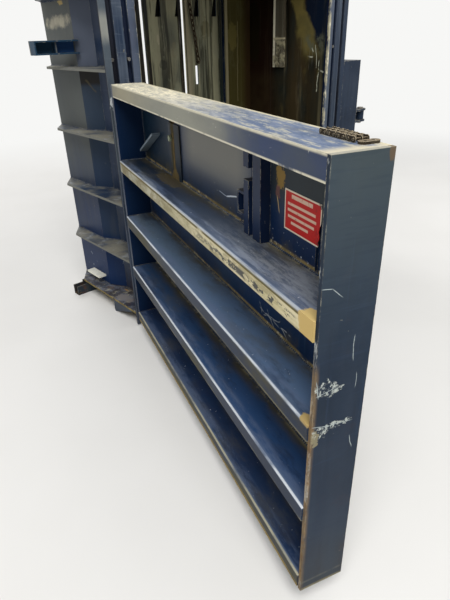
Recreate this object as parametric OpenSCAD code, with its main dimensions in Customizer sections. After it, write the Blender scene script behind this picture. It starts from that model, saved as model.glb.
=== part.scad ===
// Vertical recycling baler, 60 inch class, with its chamber door standing open.
// Origin on the floor under the middle of the chamber, front towards -Y, up +Z.
// The door, feed gate, platen, latch, ejector tray and control lid are drawn at rest.

/* [Chamber] */
// Clear width between the side walls
chamber_w = 1524; // [1400:1:1600]
// Clear depth from the front plane to the back wall
chamber_d = 762; // [720:1:820]
// Thickness of the side and back walls
wall_t = 10; // [8:0.5:12]
// Height of the top of the walls above the floor
body_top = 2480; // [2440:1:2560]

/* [Base] */
// Height of the feet under the base plate
foot_h = 78; // [70:1:90]
// Height of the rear foot's ends past the base plate
foot_end_h = 62; // [56:1:68]
// Wall of the feet
foot_wall = 8; // [6:0.5:10]
// Thickness of the base plate
base_t = 12; // [10:0.5:16]
// Depth of the front foot
front_foot_w = 200; // [160:1:204]
// Length of the front foot
front_foot_len = 1640; // [1560:1:1760]
// Middle of the front foot from the chamber middle
front_foot_y = -230; // [-232:1:-220]
// Depth of the rear foot
rear_foot_w = 58; // [52:1:64]
// Length of the rear foot
rear_foot_len = 1970; // [1950:1:2000]
// Middle of the rear foot from the chamber middle
rear_foot_y = 269; // [260:1:275]
// Diameter of the anchor holes
anchor_d = 18; // [14:0.5:20]
// Anchor holes from the ends of the rear foot
anchor_edge = 25; // [20:1:28]
// Width of the sill between the feet
sill_w = 120; // [100:1:160]
// Length of the gussets under the side edges of the base plate
gusset_l = 206; // [180:1:220]
// Back of the gussets from the chamber middle
gusset_y1 = -114; // [-124:1:-104]
// Underside of the gussets
gusset_z0 = 4; // [3:1:10]
// Height of the gussets at their thin end
gusset_tip = 8; // [6:1:12]

/* [Posts] */
// Thickness of the front plates of a post
post_t = 12; // [10:0.5:14]
// Reach of the jamb bar past the side wall
jamb_in = 35; // [30:1:45]
// Width of the jamb bar
jamb_w = 43; // [40:1:48]
// Mouth of the gate slot
slot_w = 30; // [26:0.5:32]
// Width of the bar outside the slot
bar_w = 50; // [46:1:60]
// Width of the recess
recess_w = 32; // [30:1:40]
// Width of the outer lip
lip_w = 35; // [28:1:42]
// Depth of the recess behind the front plane
recess_deep = 25; // [22:0.5:28]
// How far the gate slot widens inside, each side
tee_side = 10; // [8:0.5:12]
// Depth of the wide part of the gate slot
tee_deep = 24; // [20:0.5:28]
// Thickness of the folded slot and recess walls
fold_t = 8; // [6:0.5:9]
// Sheet of the cover between the posts
cover_t = 5; // [4:0.5:6]
// Underside of the posts
post_foot = 12; // [5:1:30]
// Top of the posts
post_top = 2790; // [2780:1:2840]

/* [Sides] */
// Sideways step of the folded rear post
step_x = 60; // [50:1:70]
// Length of the slanted part of the step
step_y = 105; // [90:1:120]
// Start of the slant from the chamber middle
step_start = -41; // [-60:1:-20]
// Distance between ribs
rib_pitch = 325; // [300:1:330]
// Thickness of the ribs
rib_t = 12; // [8:0.5:14]
// Length of the cut corner of the ribs, along the side
rib_cut = 122; // [80:1:160]
// Depth of the ribs behind the back wall
back_rib_d = 60; // [50:1:80]

/* [Side lugs] */
// End of a side lug from the middle
lug_x = 1070; // [1040:1:1090]
// Gusset of a side lug from the middle
lug_web_x = 945; // [930:1:960]
// Underside of the side lugs
lug_z0 = 1453; // [1440:1:1460]
// Height of the side lugs
lug_h = 65; // [56:1:72]
// Depth of the side lugs
lug_d = 65; // [56:1:72]
// Back of the side lugs from the chamber middle
lug_y1 = 85; // [80:1:95]
// Thickness of the side lugs
lug_t = 7; // [5:0.5:8]

/* [Back wall] */
// Width of the wire slots
wire_slot_w = 25; // [16:0.5:28]
// Top of the wire slots
wire_slot_z1 = 1800; // [1790:1:1820]
// Width of a guide bar beside a slot
strip_w = 24; // [16:1:30]
// Thickness of a guide bar
strip_t = 8; // [5:0.5:10]
// Underside of the dark pockets
pocket_z = 1631; // [1600:1:1650]
// Height of the pockets
pocket_h = 150; // [130:1:158]
// Width of a pocket at its foot
pocket_w = 46; // [40:1:52]
// Depth of the covers behind the pockets
pocket_cover_d = 28; // [20:1:29]
// Bars across the back end at this height, below the open part of the slots
bar_limit = 1140; // [1100:1:1200]

/* [Wall rails] */
// Width of a rail on the side walls
rail_w = 100; // [80:1:110]
// Thickness of a rail
rail_t = 20; // [14:1:24]
// Middle of a rail from the chamber middle
rail_y = 74; // [60:1:90]
// Underside of a rail
rail_z0 = 1298; // [1280:1:1320]

/* [Door] */
// Length of the door
door_l = 1763; // [1740:1:1790]
// Thickness of the door at its end plates
door_t = 143; // [130:1:150]
// Underside of the door
door_z0 = 81; // [80:1:86]
// Top of the door
door_z1 = 1335; // [1325:1:1345]
// Gap between the door and the post plane when closed
door_gap = 3; // [2:0.5:6]
// Hinge end of the closed door from the chamber middle
door_x0 = -783; // [-790:1:-776]
// Thickness of the skin
skin_t = 13; // [10:0.5:14]
// Thickness of the folded door members
door_sheet = 8; // [6:0.5:10]
// Depth of the front lip of the top member
top_lip = 55; // [48:1:62]
// Depth of the lips of the shelves
shelf_lip = 51; // [44:1:56]
// How far the shelves stand past the end plates
shelf_proud = 5; // [2:0.5:7]
// Top of the lowest shelf
shelf_z0 = 142; // [138:1:150]
// Distance between shelves
shelf_pitch = 282.67; // [276:0.5:285]
// Thickness of the free end plate
end_t = 12; // [10:0.5:14]
// Depth of the hinge stile
stile_d = 30; // [26:1:36]
// How far the door stands open at rest
open_angle = 107.86; // [100:0.1:112]

/* [Door fittings] */
// Hinge end of the door to the wire guide
guide_p = 1204; // [1180:1:1230]
// Width of the wire guide
guide_w = 106; // [96:1:116]
// Depth of the wire guide
guide_d = 32; // [26:1:36]
// Width of the channel in the wire guide
guide_slot_w = 26; // [20:1:30]
// Width of the small box beside the wire guide
guide_box_w = 54; // [46:1:60]
// Height of the small box
guide_box_h = 73; // [64:1:80]
// Hinge end of the door to the slanted bar
brace_p = 64; // [54:1:74]
// Length of the slanted bar
brace_l = 260; // [240:1:270]
// Width of the slanted bar
brace_w = 38; // [32:1:44]
// Thickness of the slanted bar
brace_t = 9; // [7:0.5:11]
// Hinge end of the door to the strap
strap_p = 440; // [425:1:455]
// Width of the strap
strap_w = 130; // [120:1:140]
// Height of the strap
strap_h = 223; // [210:1:235]
// Thickness of the strap
strap_t = 6; // [4:0.5:8]
// Radius of the strap's bolt head
strap_bolt_r = 13; // [11:0.5:15]
// Hinge end of the door to the groove in the skin
groove_p = 1544; // [1534:1:1554]
// Width of the groove
groove_w = 18; // [14:1:22]

/* [Hinges] */
// Hinge line before the post plane
hinge_out = 44.4; // [42:0.1:50]
// Hinge line from the hinge end of the door
hinge_side = 45; // [42:0.5:50]
// Radius of the hinge barrels
knuckle_r = 28; // [24:0.5:30]
// Radius of the hinge pins
hinge_pin_r = 16; // [12:0.5:18]
// Running clearance on every pin
pin_clear = 0.05; // [0.02:0.01:0.1]
// Height of a door barrel
knuckle_h = 60; // [50:1:80]
// Height of a post barrel
leaf_h = 58; // [50:1:70]
// Gap between barrels
knuckle_gap = 1.5; // [1:0.5:3]
// Height of the lowest hinge
hinge_z0 = 240; // [220:1:280]
// Distance between hinges
hinge_pitch = 460; // [430:1:480]

/* [Feed gate] */
// Height of the gate sheet
gate_h = 700; // [680:1:710]
// Underside of the raised gate
gate_z0 = 2066; // [2062:1:2076]
// Thickness of the gate sheet
gate_t = 5; // [4:0.5:7]
// Gap between the gate and the post plane
gate_gap = 2; // [1:0.5:3]
// Play of the gate shoes in their slots
shoe_play = 0.4; // [0.3:0.1:1]
// Height of a gate shoe
shoe_h = 90; // [70:1:110]
// Height of the stop bolts in the slots
stop_z = 1430; // [1425:1:1434]
// Radius of the stop bolts
stop_bolt_r = 8; // [7:0.5:10]
// Radius of the bolt heads in the recesses
post_bolt_r = 8; // [7:0.5:10]
// Distance between the bolt heads
post_bolt_pitch = 650; // [600:1:680]

/* [Platen] */
// Underside of the raised platen
platen_z0 = 2070; // [2066:1:2090]
// Height of the platen
platen_h = 240; // [220:1:260]
// Gap between the platen and the side walls
platen_gap = 20; // [16:1:24]
// Gap between the platen and the front plane
platen_front_gap = 21; // [20:1:26]
// Gap between the platen and the back wall, for the chain
platen_back_gap = 44; // [42:1:50]
// Plate thickness of the platen
platen_t = 20; // [14:1:24]
// Travel of the platen
stroke = 1219; // [1150:1:1225]

// Height of a wear shoe below and above the platen's plates
shoe_edge = 40; // [30:1:50]
// Width of a wear shoe
wear_w = 100; // [80:1:110]
// Platen's front edge to its front wear shoes
wear_front = 140; // [120:1:160]
// Platen's rear edge to its rear wear shoes
wear_rear = 37; // [27:1:47]

/* [Cylinder] */
// Outside radius of the cylinder
barrel_r = 90; // [84:1:96]
// Wall of the cylinder
barrel_wall = 12; // [10:0.5:16]
// Radius of the ram rod
ram_r = 45; // [38:1:50]
// Thickness of the piston
piston_t = 60; // [50:1:80]
// Height of the head beams
beam_h = 200; // [180:1:220]
// Width of the head beams
beam_w = 75; // [65:1:90]
// Wall of the head beams
beam_t = 9; // [8:0.5:12]
// Distance between the head beams
beam_gap = 200; // [198:1:220]
// Thickness of the cylinder plate
cyl_plate_t = 25; // [20:1:30]

/* [Power unit] */
// Ends of the head beams to the oil tank
tank_in = 60; // [40:1:80]
// Length of the oil tank
tank_l = 460; // [400:1:480]
// Width of the oil tank
tank_w = 360; // [350:1:400]
// Height of the oil tank
tank_h = 300; // [260:1:340]
// Radius of the motor
motor_r = 95; // [80:1:105]
// Length of the motor
motor_l = 260; // [220:1:280]
// Radius of the oil pipes
pipe_r = 11; // [8:0.5:13]

/* [Latch] */
// Right edge of the keeper box
keeper_x = 1110; // [1090:1:1120]
// Underside of the keeper box
keeper_z0 = 700; // [680:1:760]
// Depth of the keeper box
keeper_d = 150; // [130:1:170]
// Wall of the keeper box
keeper_t = 10; // [8:0.5:12]
// Latch pin from the chamber middle
latch_x = 1215; // [1205:1:1225]
// Radius of the round end of the latch ears
ear_r = 40; // [36:1:44]
// Thickness of the ears
ear_t = 12; // [10:0.5:14]
// Top face of the lower ear
ear_z = 922; // [915:1:935]
// Height between the ears
ear_space = 66; // [60:1:74]
// Radius of the latch pin
latch_pin_r = 14; // [10:0.5:16]
// Height of the latch arm
latch_arm_h = 60; // [50:1:62]
// Thickness of the latch arm
latch_arm_t = 24; // [20:1:30]
// Radius of the clamp screw
screw_r = 14; // [12:0.5:16]
// Gap between the drawn-back clamp and the closed door
clamp_gap = 26; // [20:1:34]
// Radius of the hand wheel
wheel_r = 110; // [90:1:120]

/* [Ejector] */
// Width of the ejector tray
tray_w = 1400; // [1300:1:1430]
// Depth of the ejector tray
tray_d = 640; // [600:1:650]
// Thickness of the tray plate
tray_t = 8; // [6:0.5:10]
// Height of the bars under the tray
tray_bar = 6; // [5:0.5:8]
// Radius of the tray shaft
shaft_r = 8; // [7:0.5:9]

/* [Controls] */
// Width of the control box along the side
control_w = 300; // [260:1:310]
// Height of the control box
control_h = 400; // [340:1:420]
// Depth of the control box
control_d = 180; // [150:1:190]
// Sheet of the control box
control_t = 3; // [2:0.5:4]
// Thickness of the control lid
lid_t = 12; // [10:0.5:16]
// Radius of the start and lower buttons
button_r = 15; // [12:0.5:18]
// Press of a button
button_press = 5; // [3:0.5:6]
// Radius of the stop mushroom
mushroom_r = 25; // [20:0.5:28]

/* [Tab] */
// Width of the tab on the left rear post
tab_w = 52; // [44:1:60]
// Depth of the tab
tab_d = 154; // [140:1:165]
// Thickness of the tab
tab_t = 12; // [8:0.5:14]
// Underside of the tab
tab_z = 138; // [130:1:146]
// Front of the tab from the chamber middle
tab_y = 108; // [98:1:118]

/* [Chains] */
// Wire of the ejector chain
link_wire = 8; // [6:0.5:8.5]
// Inside length of a link
link_in = 32; // [28:0.5:40]
// Inside width of a link
link_w = 11.5; // [11:0.5:13]
// Pitch of the roller chain on the door
roller_pitch = 15.875; // [15:0.005:17]
// Height of the roller chain's plates
roller_plate_h = 13; // [11:0.5:15]
// Links of the roller chain
roller_links = 7; // [3:2:7]

/* [Hidden] */
$fn = 48;
// How far a cut passes the face it opens
eps = 1;
// Root gap between welded plates
root_gap = 0.3;

// Planes and edges shared by several pieces
front_y = -chamber_d / 2;
back_y = chamber_d / 2;
rear_y = back_y + wall_t;
base_top = foot_h + base_t;
wall_x = chamber_w / 2;
web_x = wall_x + wall_t;
open_x = wall_x - jamb_in;
slot_x0 = open_x + jamb_w;
slot_x1 = slot_x0 + slot_w;
bar_x1 = slot_x1 + bar_w;
recess_x1 = bar_x1 + recess_w;
post_x = recess_x1 + lip_w;
plate_back = front_y + post_t;
tee_x0 = slot_x0 - tee_side;
tee_x1 = slot_x1 + tee_side;
tee_back = plate_back + tee_deep;
slot_back = tee_back + fold_t;
recess_back = front_y + recess_deep + fold_t;
step_out = web_x + step_x;
step_end = step_start + step_y;
rib_count = floor((body_top - base_top - rib_t) / rib_pitch);
rib_cut_y = rear_y - rib_cut;
// The slanted fold's inner line, found from its length
slant = sqrt(step_x * step_x + step_y * step_y);
function slant_in(x) = step_start + wall_t * step_x / slant
    + (x - web_x + wall_t * step_y / slant) * step_y / step_x;
// Wire slots follow the photograph and aren't evenly spaced
wire_x = [-515, -190, 133, 490];
short_slot_x = 236;
short_slot_z = [1209, 1330];
pocket_x = [-64, 94, 252, 410];
// Sides of the two covers behind the pockets, clear of the wire slots
pocket_cover_x = [[-105, 118], [205, 456]];
pocket_lap = 20;
cover_sheet = 5;
// Upright stiffeners on the plates of the back wall
stiffener_x = [-640, -350, -30, 350, 630];
// Channel that closes the last wire slot from behind
slot_channel_in = 19;
slot_channel_d = 24.5;

// Door frame, hinge line and its places
hinge_x = door_x0 - hinge_side;
hinge_y = front_y - hinge_out;
door_back = front_y - door_gap;
hinge_in = door_back - hinge_y;
shelf_count = 4;
hinge_count = 3;
door_in = door_l - end_t;
top_t = door_sheet + 2;

// Platen, ram and cylinder stack
platen_x = wall_x - platen_gap;
platen_y0 = front_y + platen_front_gap;
platen_y1 = back_y - platen_back_gap;
platen_top = platen_z0 + platen_h;
shoe_gap = 4;
shoe_stand = platen_gap - shoe_gap;
ram_flange_t = 25;
ram_flange_r = 130;
gland_h = 50;
gland_out = 20;
bolt_ring_r = barrel_r + 30;
beam_top = body_top + beam_h;
barrel_z0 = body_top - 45;
piston_z = barrel_z0 + gland_h - gland_out + 5 + stroke;
barrel_z1 = piston_z + piston_t + 20;
cap_t = 35;
plate_top = beam_top + cyl_plate_t;

// Gate places
gate_front = front_y - gate_gap - gate_t;
gate_x = slot_x1 + 8;
gate_rim = 40;
gate_drop = gate_z0 - (door_z1 + 40);
shoe_low = 70;
shoe_high = gate_h - 130;
handle_x = 150;
handle_r = 9;
handle_out = 60;

// Latch places
latch_y = front_y + ear_r;
arm_back = latch_arm_t / 2;
clamp_face = door_back - door_t - shelf_proud;
pad_t = 10;
arm_reach = latch_y - clamp_face + clamp_gap + pad_t + 24;
screw_travel = clamp_gap - 0.5;
arm_side = 285;
boss_r = 24;
latch_mid = ear_z + ear_space / 2;
latch_turn = 188;

// Ejector tray places
tray_z = base_top + tray_bar;
shaft_y = front_y + 42;
shaft_z = base_top + 16;
tray_front = shaft_y + 35;
tray_lug_x = [-620, -210, 210, 620];
tray_lug_t = 12;

// Control places
control_y = -control_w / 2;
control_z = lug_z0 + lug_h + 12;
control_x = post_x;
lid_x = control_x + control_d;
stop_up = 80;
lower_up = 180;
raise_up = 250;
stop_button_z = control_z + stop_up;
button_z = [control_z + raise_up, control_z + lower_up];
control_mid = control_y + control_w / 2;

// Box between two corners
module block(x0, x1, y0, y1, z0, z1) {
    translate([x0, y0, z0]) cube([x1 - x0, y1 - y0, z1 - z0]);
}
// Rectangle between two corners
module plan(x0, x1, y0, y1) {
    translate([x0, y0]) square([x1 - x0, y1 - y0]);
}
// Extrusion of a plan outline between two heights
module tall(z0, z1) {
    translate([0, 0, z0]) linear_extrude(z1 - z0) children();
}
module rod_x(x0, x1, y, z, r) {
    translate([x0, y, z]) rotate([0, 90, 0]) cylinder(h = x1 - x0, r = r);
}
module rod_y(x, y0, y1, z, r) {
    translate([x, y0, z]) rotate([-90, 0, 0]) cylinder(h = y1 - y0, r = r);
}
module rod_z(x, y, z0, z1, r) {
    translate([x, y, z0]) cylinder(h = z1 - z0, r = r);
}
module hex_head(r, h) {
    cylinder(h = h, r = r, $fn = 6);
}
module both() {
    children();
    mirror([1, 0, 0]) children();
}
module left() {
    mirror([1, 0, 0]) children();
}
// Turns what is drawn on the closed door to its place on the open door
module on_door() {
    translate([hinge_x, hinge_y, 0]) rotate([0, 0, -open_angle])
        translate([hinge_side, hinge_in, 0]) children();
}
// Box on the door: along it, out from its bale face, and up
module door_box(p0, p1, q0, q1, z0, z1) {
    block(p0, p1, -q1, -q0, z0, z1);
}

// Room taken by a post behind its front plates
module post_block2d() {
    plan(open_x, post_x + eps, front_y - eps, plate_back);
    plan(tee_x0 - fold_t, tee_x1 + fold_t, plate_back - eps, slot_back);
    plan(bar_x1 - fold_t, recess_x1 + fold_t, plate_back - eps, recess_back);
}
// Outline of a side rib, right hand
module rib2d() {
    difference() {
        polygon([[web_x, plate_back], [post_x, plate_back], [post_x, rib_cut_y],
                 [step_out, rear_y], [step_out, step_end], [web_x, step_start]]);
        post_block2d();
    }
}
// Outline of a post, right hand: jamb bar, gate slot, bar, recess and lip
module post2d() {
    plan(open_x, slot_x0, front_y, plate_back);
    plan(tee_x0 - fold_t, tee_x0, plate_back - eps, slot_back);
    plan(tee_x0 - fold_t, tee_x1 + fold_t, tee_back, slot_back);
    plan(tee_x1, tee_x1 + fold_t, plate_back - eps, slot_back);
    plan(slot_x1, bar_x1, front_y, plate_back);
    plan(bar_x1 - fold_t, bar_x1, plate_back - eps, recess_back);
    plan(bar_x1 - fold_t, recess_x1 + fold_t, recess_back - fold_t, recess_back);
    plan(recess_x1, recess_x1 + fold_t, plate_back - eps, recess_back);
    plan(recess_x1, post_x, front_y, plate_back);
}
// Outline of the folded rear post, right hand
module rear_post2d() {
    difference() {
        polygon([[web_x, step_start], [step_out, step_end], [step_out, rear_y], [web_x, rear_y]]);
        polygon([[web_x - eps, slant_in(web_x - eps)], [step_out - wall_t, slant_in(step_out - wall_t)],
                 [step_out - wall_t, back_y], [web_x - eps, back_y]]);
    }
}

module base_plate() {
    color("midnightblue") tall(foot_h, base_top) difference() {
        polygon([[-post_x, front_y], [post_x, front_y], [post_x, rib_cut_y], [step_out, rear_y],
                 [-step_out, rear_y], [-post_x, rib_cut_y]]);
        both() post_block2d();
    }
}
// Gusset under a side edge of the base plate
module gusset() {
    y0 = gusset_y1 - gusset_l;
    translate([post_x - rib_t, 0, 0]) rotate([90, 0, 90]) linear_extrude(rib_t)
        polygon([[y0, foot_h - gusset_tip], [gusset_y1 - 2 * gusset_tip, gusset_z0], [gusset_y1, gusset_z0],
                 [gusset_y1, foot_h], [y0, foot_h]]);
}
// Open-ended rectangular tube across the baler, with the gussets before it
module front_foot() {
    x = front_foot_len / 2;
    y0 = front_foot_y - front_foot_w / 2;
    y1 = front_foot_y + front_foot_w / 2;
    color("darkslategray") {
        difference() {
            block(-x, x, y0, y1, 0, foot_h);
            block(-x - eps, x + eps, y0 + foot_wall, y1 - foot_wall, foot_wall, foot_h - foot_wall);
        }
        both() gusset();
    }
}
// Channel open at the top, lower past the base plate and drilled for its anchors
module rear_foot() {
    x = rear_foot_len / 2;
    y0 = rear_foot_y - rear_foot_w / 2;
    y1 = rear_foot_y + rear_foot_w / 2;
    color("darkslategray") difference() {
        block(-x, x, y0, y1, 0, foot_h);
        block(-x - eps, x + eps, y0 + foot_wall, y1 - foot_wall, foot_wall, foot_h + eps);
        both() block(post_x + eps, x + eps, y0 - eps, y1 + eps, foot_end_h, foot_h + eps);
        both() rod_z(x - anchor_edge, rear_foot_y, -eps, foot_wall + eps, anchor_d / 2);
    }
}
module center_sill() {
    y0 = front_foot_y + front_foot_w / 2;
    y1 = rear_foot_y - rear_foot_w / 2;
    color("darkslategray") difference() {
        block(-sill_w / 2, sill_w / 2, y0, y1, 0, foot_h);
        block(-sill_w / 2 + foot_wall, sill_w / 2 - foot_wall, y0 - eps, y1 + eps,
              foot_wall, foot_h - foot_wall);
    }
}
module side_walls() {
    color("midnightblue") both() block(wall_x, web_x, slot_back, rear_y, base_top, body_top);
}
module rear_post_right() {
    color("lightslategray") tall(base_top, body_top) rear_post2d();
}
module rear_post_left() { left() rear_post_right(); }
module side_ribs() {
    color("midnightblue") both() for (i = [1 : rib_count])
        tall(base_top + i * rib_pitch - rib_t, base_top + i * rib_pitch) rib2d();
}
module post_right() {
    color("slategray") tall(post_foot, post_top) post2d();
}
module post_left() { left() post_right(); }

// Pocket narrowing upwards, seen from the front
module pocket2d(x) {
    polygon([[x - pocket_w / 2, 0], [x + pocket_w / 2, 0], [x + pocket_w / 2, pocket_h],
             [x + pocket_w / 4, pocket_h]]);
}
// Plates between the wire slots, strips above and below the short slot, and one plate above
module back_wall() {
    e = wire_slot_w / 2;
    last = len(wire_x);
    color("darkslategray") difference() {
        union() {
            for (i = [0 : last]) {
                x0 = i == 0 ? -wall_x : wire_x[i - 1] + e;
                x1 = i == last ? wall_x : wire_x[i] - e;
                if (x0 < short_slot_x && short_slot_x < x1) {
                    block(x0, short_slot_x - e, back_y, rear_y, base_top, wire_slot_z1);
                    block(short_slot_x + e, x1, back_y, rear_y, base_top, wire_slot_z1);
                }
                else block(x0, x1, back_y, rear_y, base_top, wire_slot_z1);
            }
            for (z = [[base_top, short_slot_z[0]], [short_slot_z[1], wire_slot_z1]])
                block(short_slot_x - e + root_gap, short_slot_x + e - root_gap, back_y, rear_y, z[0], z[1]);
            block(-wall_x, wall_x, back_y, rear_y, wire_slot_z1 + root_gap, body_top);
        }
        for (x = pocket_x)
            translate([0, rear_y + eps, pocket_z]) rotate([90, 0, 0])
                linear_extrude(wall_t + 2 * eps) pocket2d(x);
    }
}
// Guide bars either side of each wire slot
module back_strips() {
    color("dimgray") for (x = wire_x, s = [-1, 1]) {
        mid = x + s * (wire_slot_w / 2 + 4 + strip_w / 2);
        block(mid - strip_w / 2, mid + strip_w / 2, back_y - strip_t, back_y, base_top, wire_slot_z1);
    }
}
// Upright stiffeners, and bars across them clear of the open part of the slots
module back_ribs() {
    mid = rear_y + back_rib_d / 2;
    color("midnightblue") {
        for (x = stiffener_x, z = [[base_top, pocket_z - pocket_lap - eps],
                                   [pocket_z + pocket_h + pocket_lap + eps, body_top]])
            block(x - rib_t / 2, x + rib_t / 2, rear_y, mid, z[0], z[1]);
        for (i = [1 : rib_count]) {
            top = base_top + i * rib_pitch;
            if (top < bar_limit || top - rib_t > wire_slot_z1)
                block(-web_x, web_x, mid + root_gap, rear_y + back_rib_d, top - rib_t, top);
        }
    }
}
// Shallow covers behind the pockets, and the closed channel behind the last wire slot
module pocket_cover() {
    z0 = pocket_z - pocket_lap;
    z1 = pocket_z + pocket_h + pocket_lap;
    x = wire_x[len(wire_x) - 1];
    color("midnightblue") {
        for (c = pocket_cover_x) difference() {
            block(c[0], c[1], rear_y, rear_y + pocket_cover_d, z0, z1);
            block(c[0] + cover_sheet, c[1] - cover_sheet, rear_y - eps,
                  rear_y + pocket_cover_d - cover_sheet, z0 + cover_sheet, z1 - cover_sheet);
        }
        for (x0 = [x - slot_channel_in - cover_sheet, x + slot_channel_in])
            block(x0, x0 + cover_sheet, rear_y, rear_y + slot_channel_d, base_top, wire_slot_z1);
        block(x - slot_channel_in - cover_sheet, x + slot_channel_in + cover_sheet,
              rear_y + slot_channel_d + root_gap, rear_y + slot_channel_d + cover_sheet, base_top, wire_slot_z1);
    }
}
module wall_rails() {
    color("dimgray") both()
        block(wall_x - rail_t, wall_x, rail_y - rail_w / 2, rail_y + rail_w / 2, rail_z0, body_top);
}
module front_cover() {
    x = tee_x0 - fold_t;
    color("midnightblue") block(-x, x, plate_back, plate_back + cover_t, gate_z0, post_top);
}

// Channel lying along X, its open side towards +Y
module beam(y0, y1) {
    difference() {
        block(-step_out, step_out, y0, y1, body_top, beam_top);
        block(-step_out - eps, step_out + eps, y0 + beam_t, y1 + eps, body_top + beam_t,
              beam_top - beam_t);
    }
}
module head_beams() {
    color("midnightblue") {
        beam(-beam_gap / 2 - beam_w, -beam_gap / 2);
        mirror([0, 1, 0]) beam(-beam_gap / 2 - beam_w, -beam_gap / 2);
    }
}
module bolt_ring(r, n, z0, z1, bolt_r) {
    for (i = [0 : n - 1])
        rotate([0, 0, 360 / n * (i + 0.5)]) rod_z(r, 0, z0, z1, bolt_r);
}
module cylinder_plate() {
    s = beam_gap / 2 + beam_w;
    color("slategray") difference() {
        block(-s, s, -s, s, beam_top, plate_top);
        rod_z(0, 0, beam_top - eps, plate_top + eps, barrel_r + 1);
    }
}
module cylinder_barrel() {
    flange_r = bolt_ring_r + 20;
    color("gray") difference() {
        union() {
            rod_z(0, 0, barrel_z0, barrel_z1, barrel_r);
            rod_z(0, 0, plate_top, plate_top + 24, flange_r);
            bolt_ring(bolt_ring_r, 8, plate_top + 24, plate_top + 36, 11);
        }
        rod_z(0, 0, barrel_z0 - eps, barrel_z1 + eps, barrel_r - barrel_wall);
    }
}
module cylinder_gland() {
    z1 = barrel_z0 + gland_h - gland_out;
    color("dimgray") difference() {
        union() {
            rod_z(0, 0, barrel_z0, z1, barrel_r - barrel_wall);
            rod_z(0, 0, barrel_z0 - gland_out, barrel_z0, barrel_r);
        }
        rod_z(0, 0, barrel_z0 - gland_out - eps, z1 + eps, ram_r + pin_clear);
    }
}
module cylinder_cap() {
    color("dimgray") {
        rod_z(0, 0, barrel_z1, barrel_z1 + cap_t, barrel_r + 6);
        rod_x(barrel_r - 5, barrel_r + 26, 0, barrel_z1 + cap_t / 2, pipe_r + 5);
    }
}

tank_x1 = step_out - tank_in;
tank_x0 = tank_x1 - tank_l;
tank_z1 = beam_top + tank_h;
motor_x0 = tank_x1 - motor_l - 20;
motor_y = tank_w / 6;
motor_z = tank_z1 + 30 + motor_r;
valve_x0 = tank_x0 + 30;
valve_x1 = valve_x0 + 90;
valve_y = -60;
valve_z1 = tank_z1 + 90;
module oil_tank() {
    lid = 15;
    color("slategray") {
        block(tank_x0, tank_x1, -tank_w / 2, tank_w / 2, beam_top, tank_z1 - 6);
        block(tank_x0 - lid, tank_x1 + lid, -tank_w / 2 - lid, tank_w / 2 + lid, tank_z1 - 6, tank_z1);
        rod_z(tank_x0 + 60, 120, tank_z1, tank_z1 + 45, 28);
        rod_z(tank_x0 + 60, 120, tank_z1 + 45, tank_z1 + 70, 36);
    }
}
// Foot-mounted motor with its bell housing and pump
module pump_motor() {
    pump_x = motor_x0 - 60;
    color("steelblue") {
        difference() {
            rod_x(motor_x0, motor_x0 + motor_l, motor_y, motor_z, motor_r);
            for (a = [0 : 15 : 345])
                translate([motor_x0 + 25, motor_y, motor_z]) rotate([a, 0, 0])
                    translate([0, -2, motor_r - 8]) cube([motor_l - 75, 4, 20]);
        }
        rod_x(motor_x0 + motor_l, motor_x0 + motor_l + 40, motor_y, motor_z, motor_r - 6);
        block(motor_x0 + 40, motor_x0 + motor_l - 40, 0, 2 * motor_y, tank_z1, motor_z - motor_r + 12);
        block(motor_x0 + 60, motor_x0 + 140, -motor_y, 0, motor_z - 20, motor_z + 45);
        rod_x(pump_x + 25, motor_x0, motor_y, motor_z, 62);
        rod_x(pump_x - 50, pump_x + 25, motor_y, motor_z, 42);
    }
}
module valve_block() {
    color("silver") {
        block(valve_x0, valve_x1, valve_y - 50, valve_y + 50, tank_z1, valve_z1 - 40);
        block(valve_x0 + 20, valve_x1 - 20, valve_y - 30, valve_y + 30, valve_z1 - 40, valve_z1);
        rod_y(valve_x0 + 45, valve_y - 105, valve_y - 50, tank_z1 + 25, 18);
        rod_y(valve_x0 + 45, valve_y + 50, valve_y + 90, tank_z1 + 25, 18);
    }
}
// Quarter bend in the XZ plane, from straight down to straight left, about its centre
module bend(r) {
    rotate([90, 0, 0]) rotate_extrude(angle = 90) translate([r, 0]) circle(r = pipe_r);
}
// One steel pipe from the valve block up to the cap and one back to the barrel foot
module oil_pipes() {
    r = 45;
    up_x = valve_x0 + 45;
    top_z = barrel_z1 + cap_t / 2;
    low_z = plate_top + 70;
    color("lightsteelblue") {
        rod_z(up_x, valve_y + 15, valve_z1, top_z - r, pipe_r);
        translate([up_x - r, valve_y + 15, top_z - r]) bend(r);
        rod_x(barrel_r + 26, up_x - r, valve_y + 15, top_z, pipe_r);
        translate([barrel_r + 26 + pipe_r, 0, top_z]) rotate([90, 0, 0])
            cylinder(h = -valve_y - 15, r = pipe_r);
        difference() {
            rod_x(0, valve_x0, valve_y + 45, tank_z1 + 30, pipe_r);
            rod_z(0, 0, tank_z1, tank_z1 + 60, barrel_r + pin_clear);
        }
    }
}

module keeper_box() {
    z1 = door_z1;
    y1 = front_y + keeper_d;
    color("slategray") difference() {
        block(post_x, keeper_x, front_y, y1, keeper_z0, z1);
        block(post_x + keeper_t, keeper_x - keeper_t, front_y + keeper_t, y1 - keeper_t,
              keeper_z0 - eps, z1 - keeper_t);
    }
}
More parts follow.
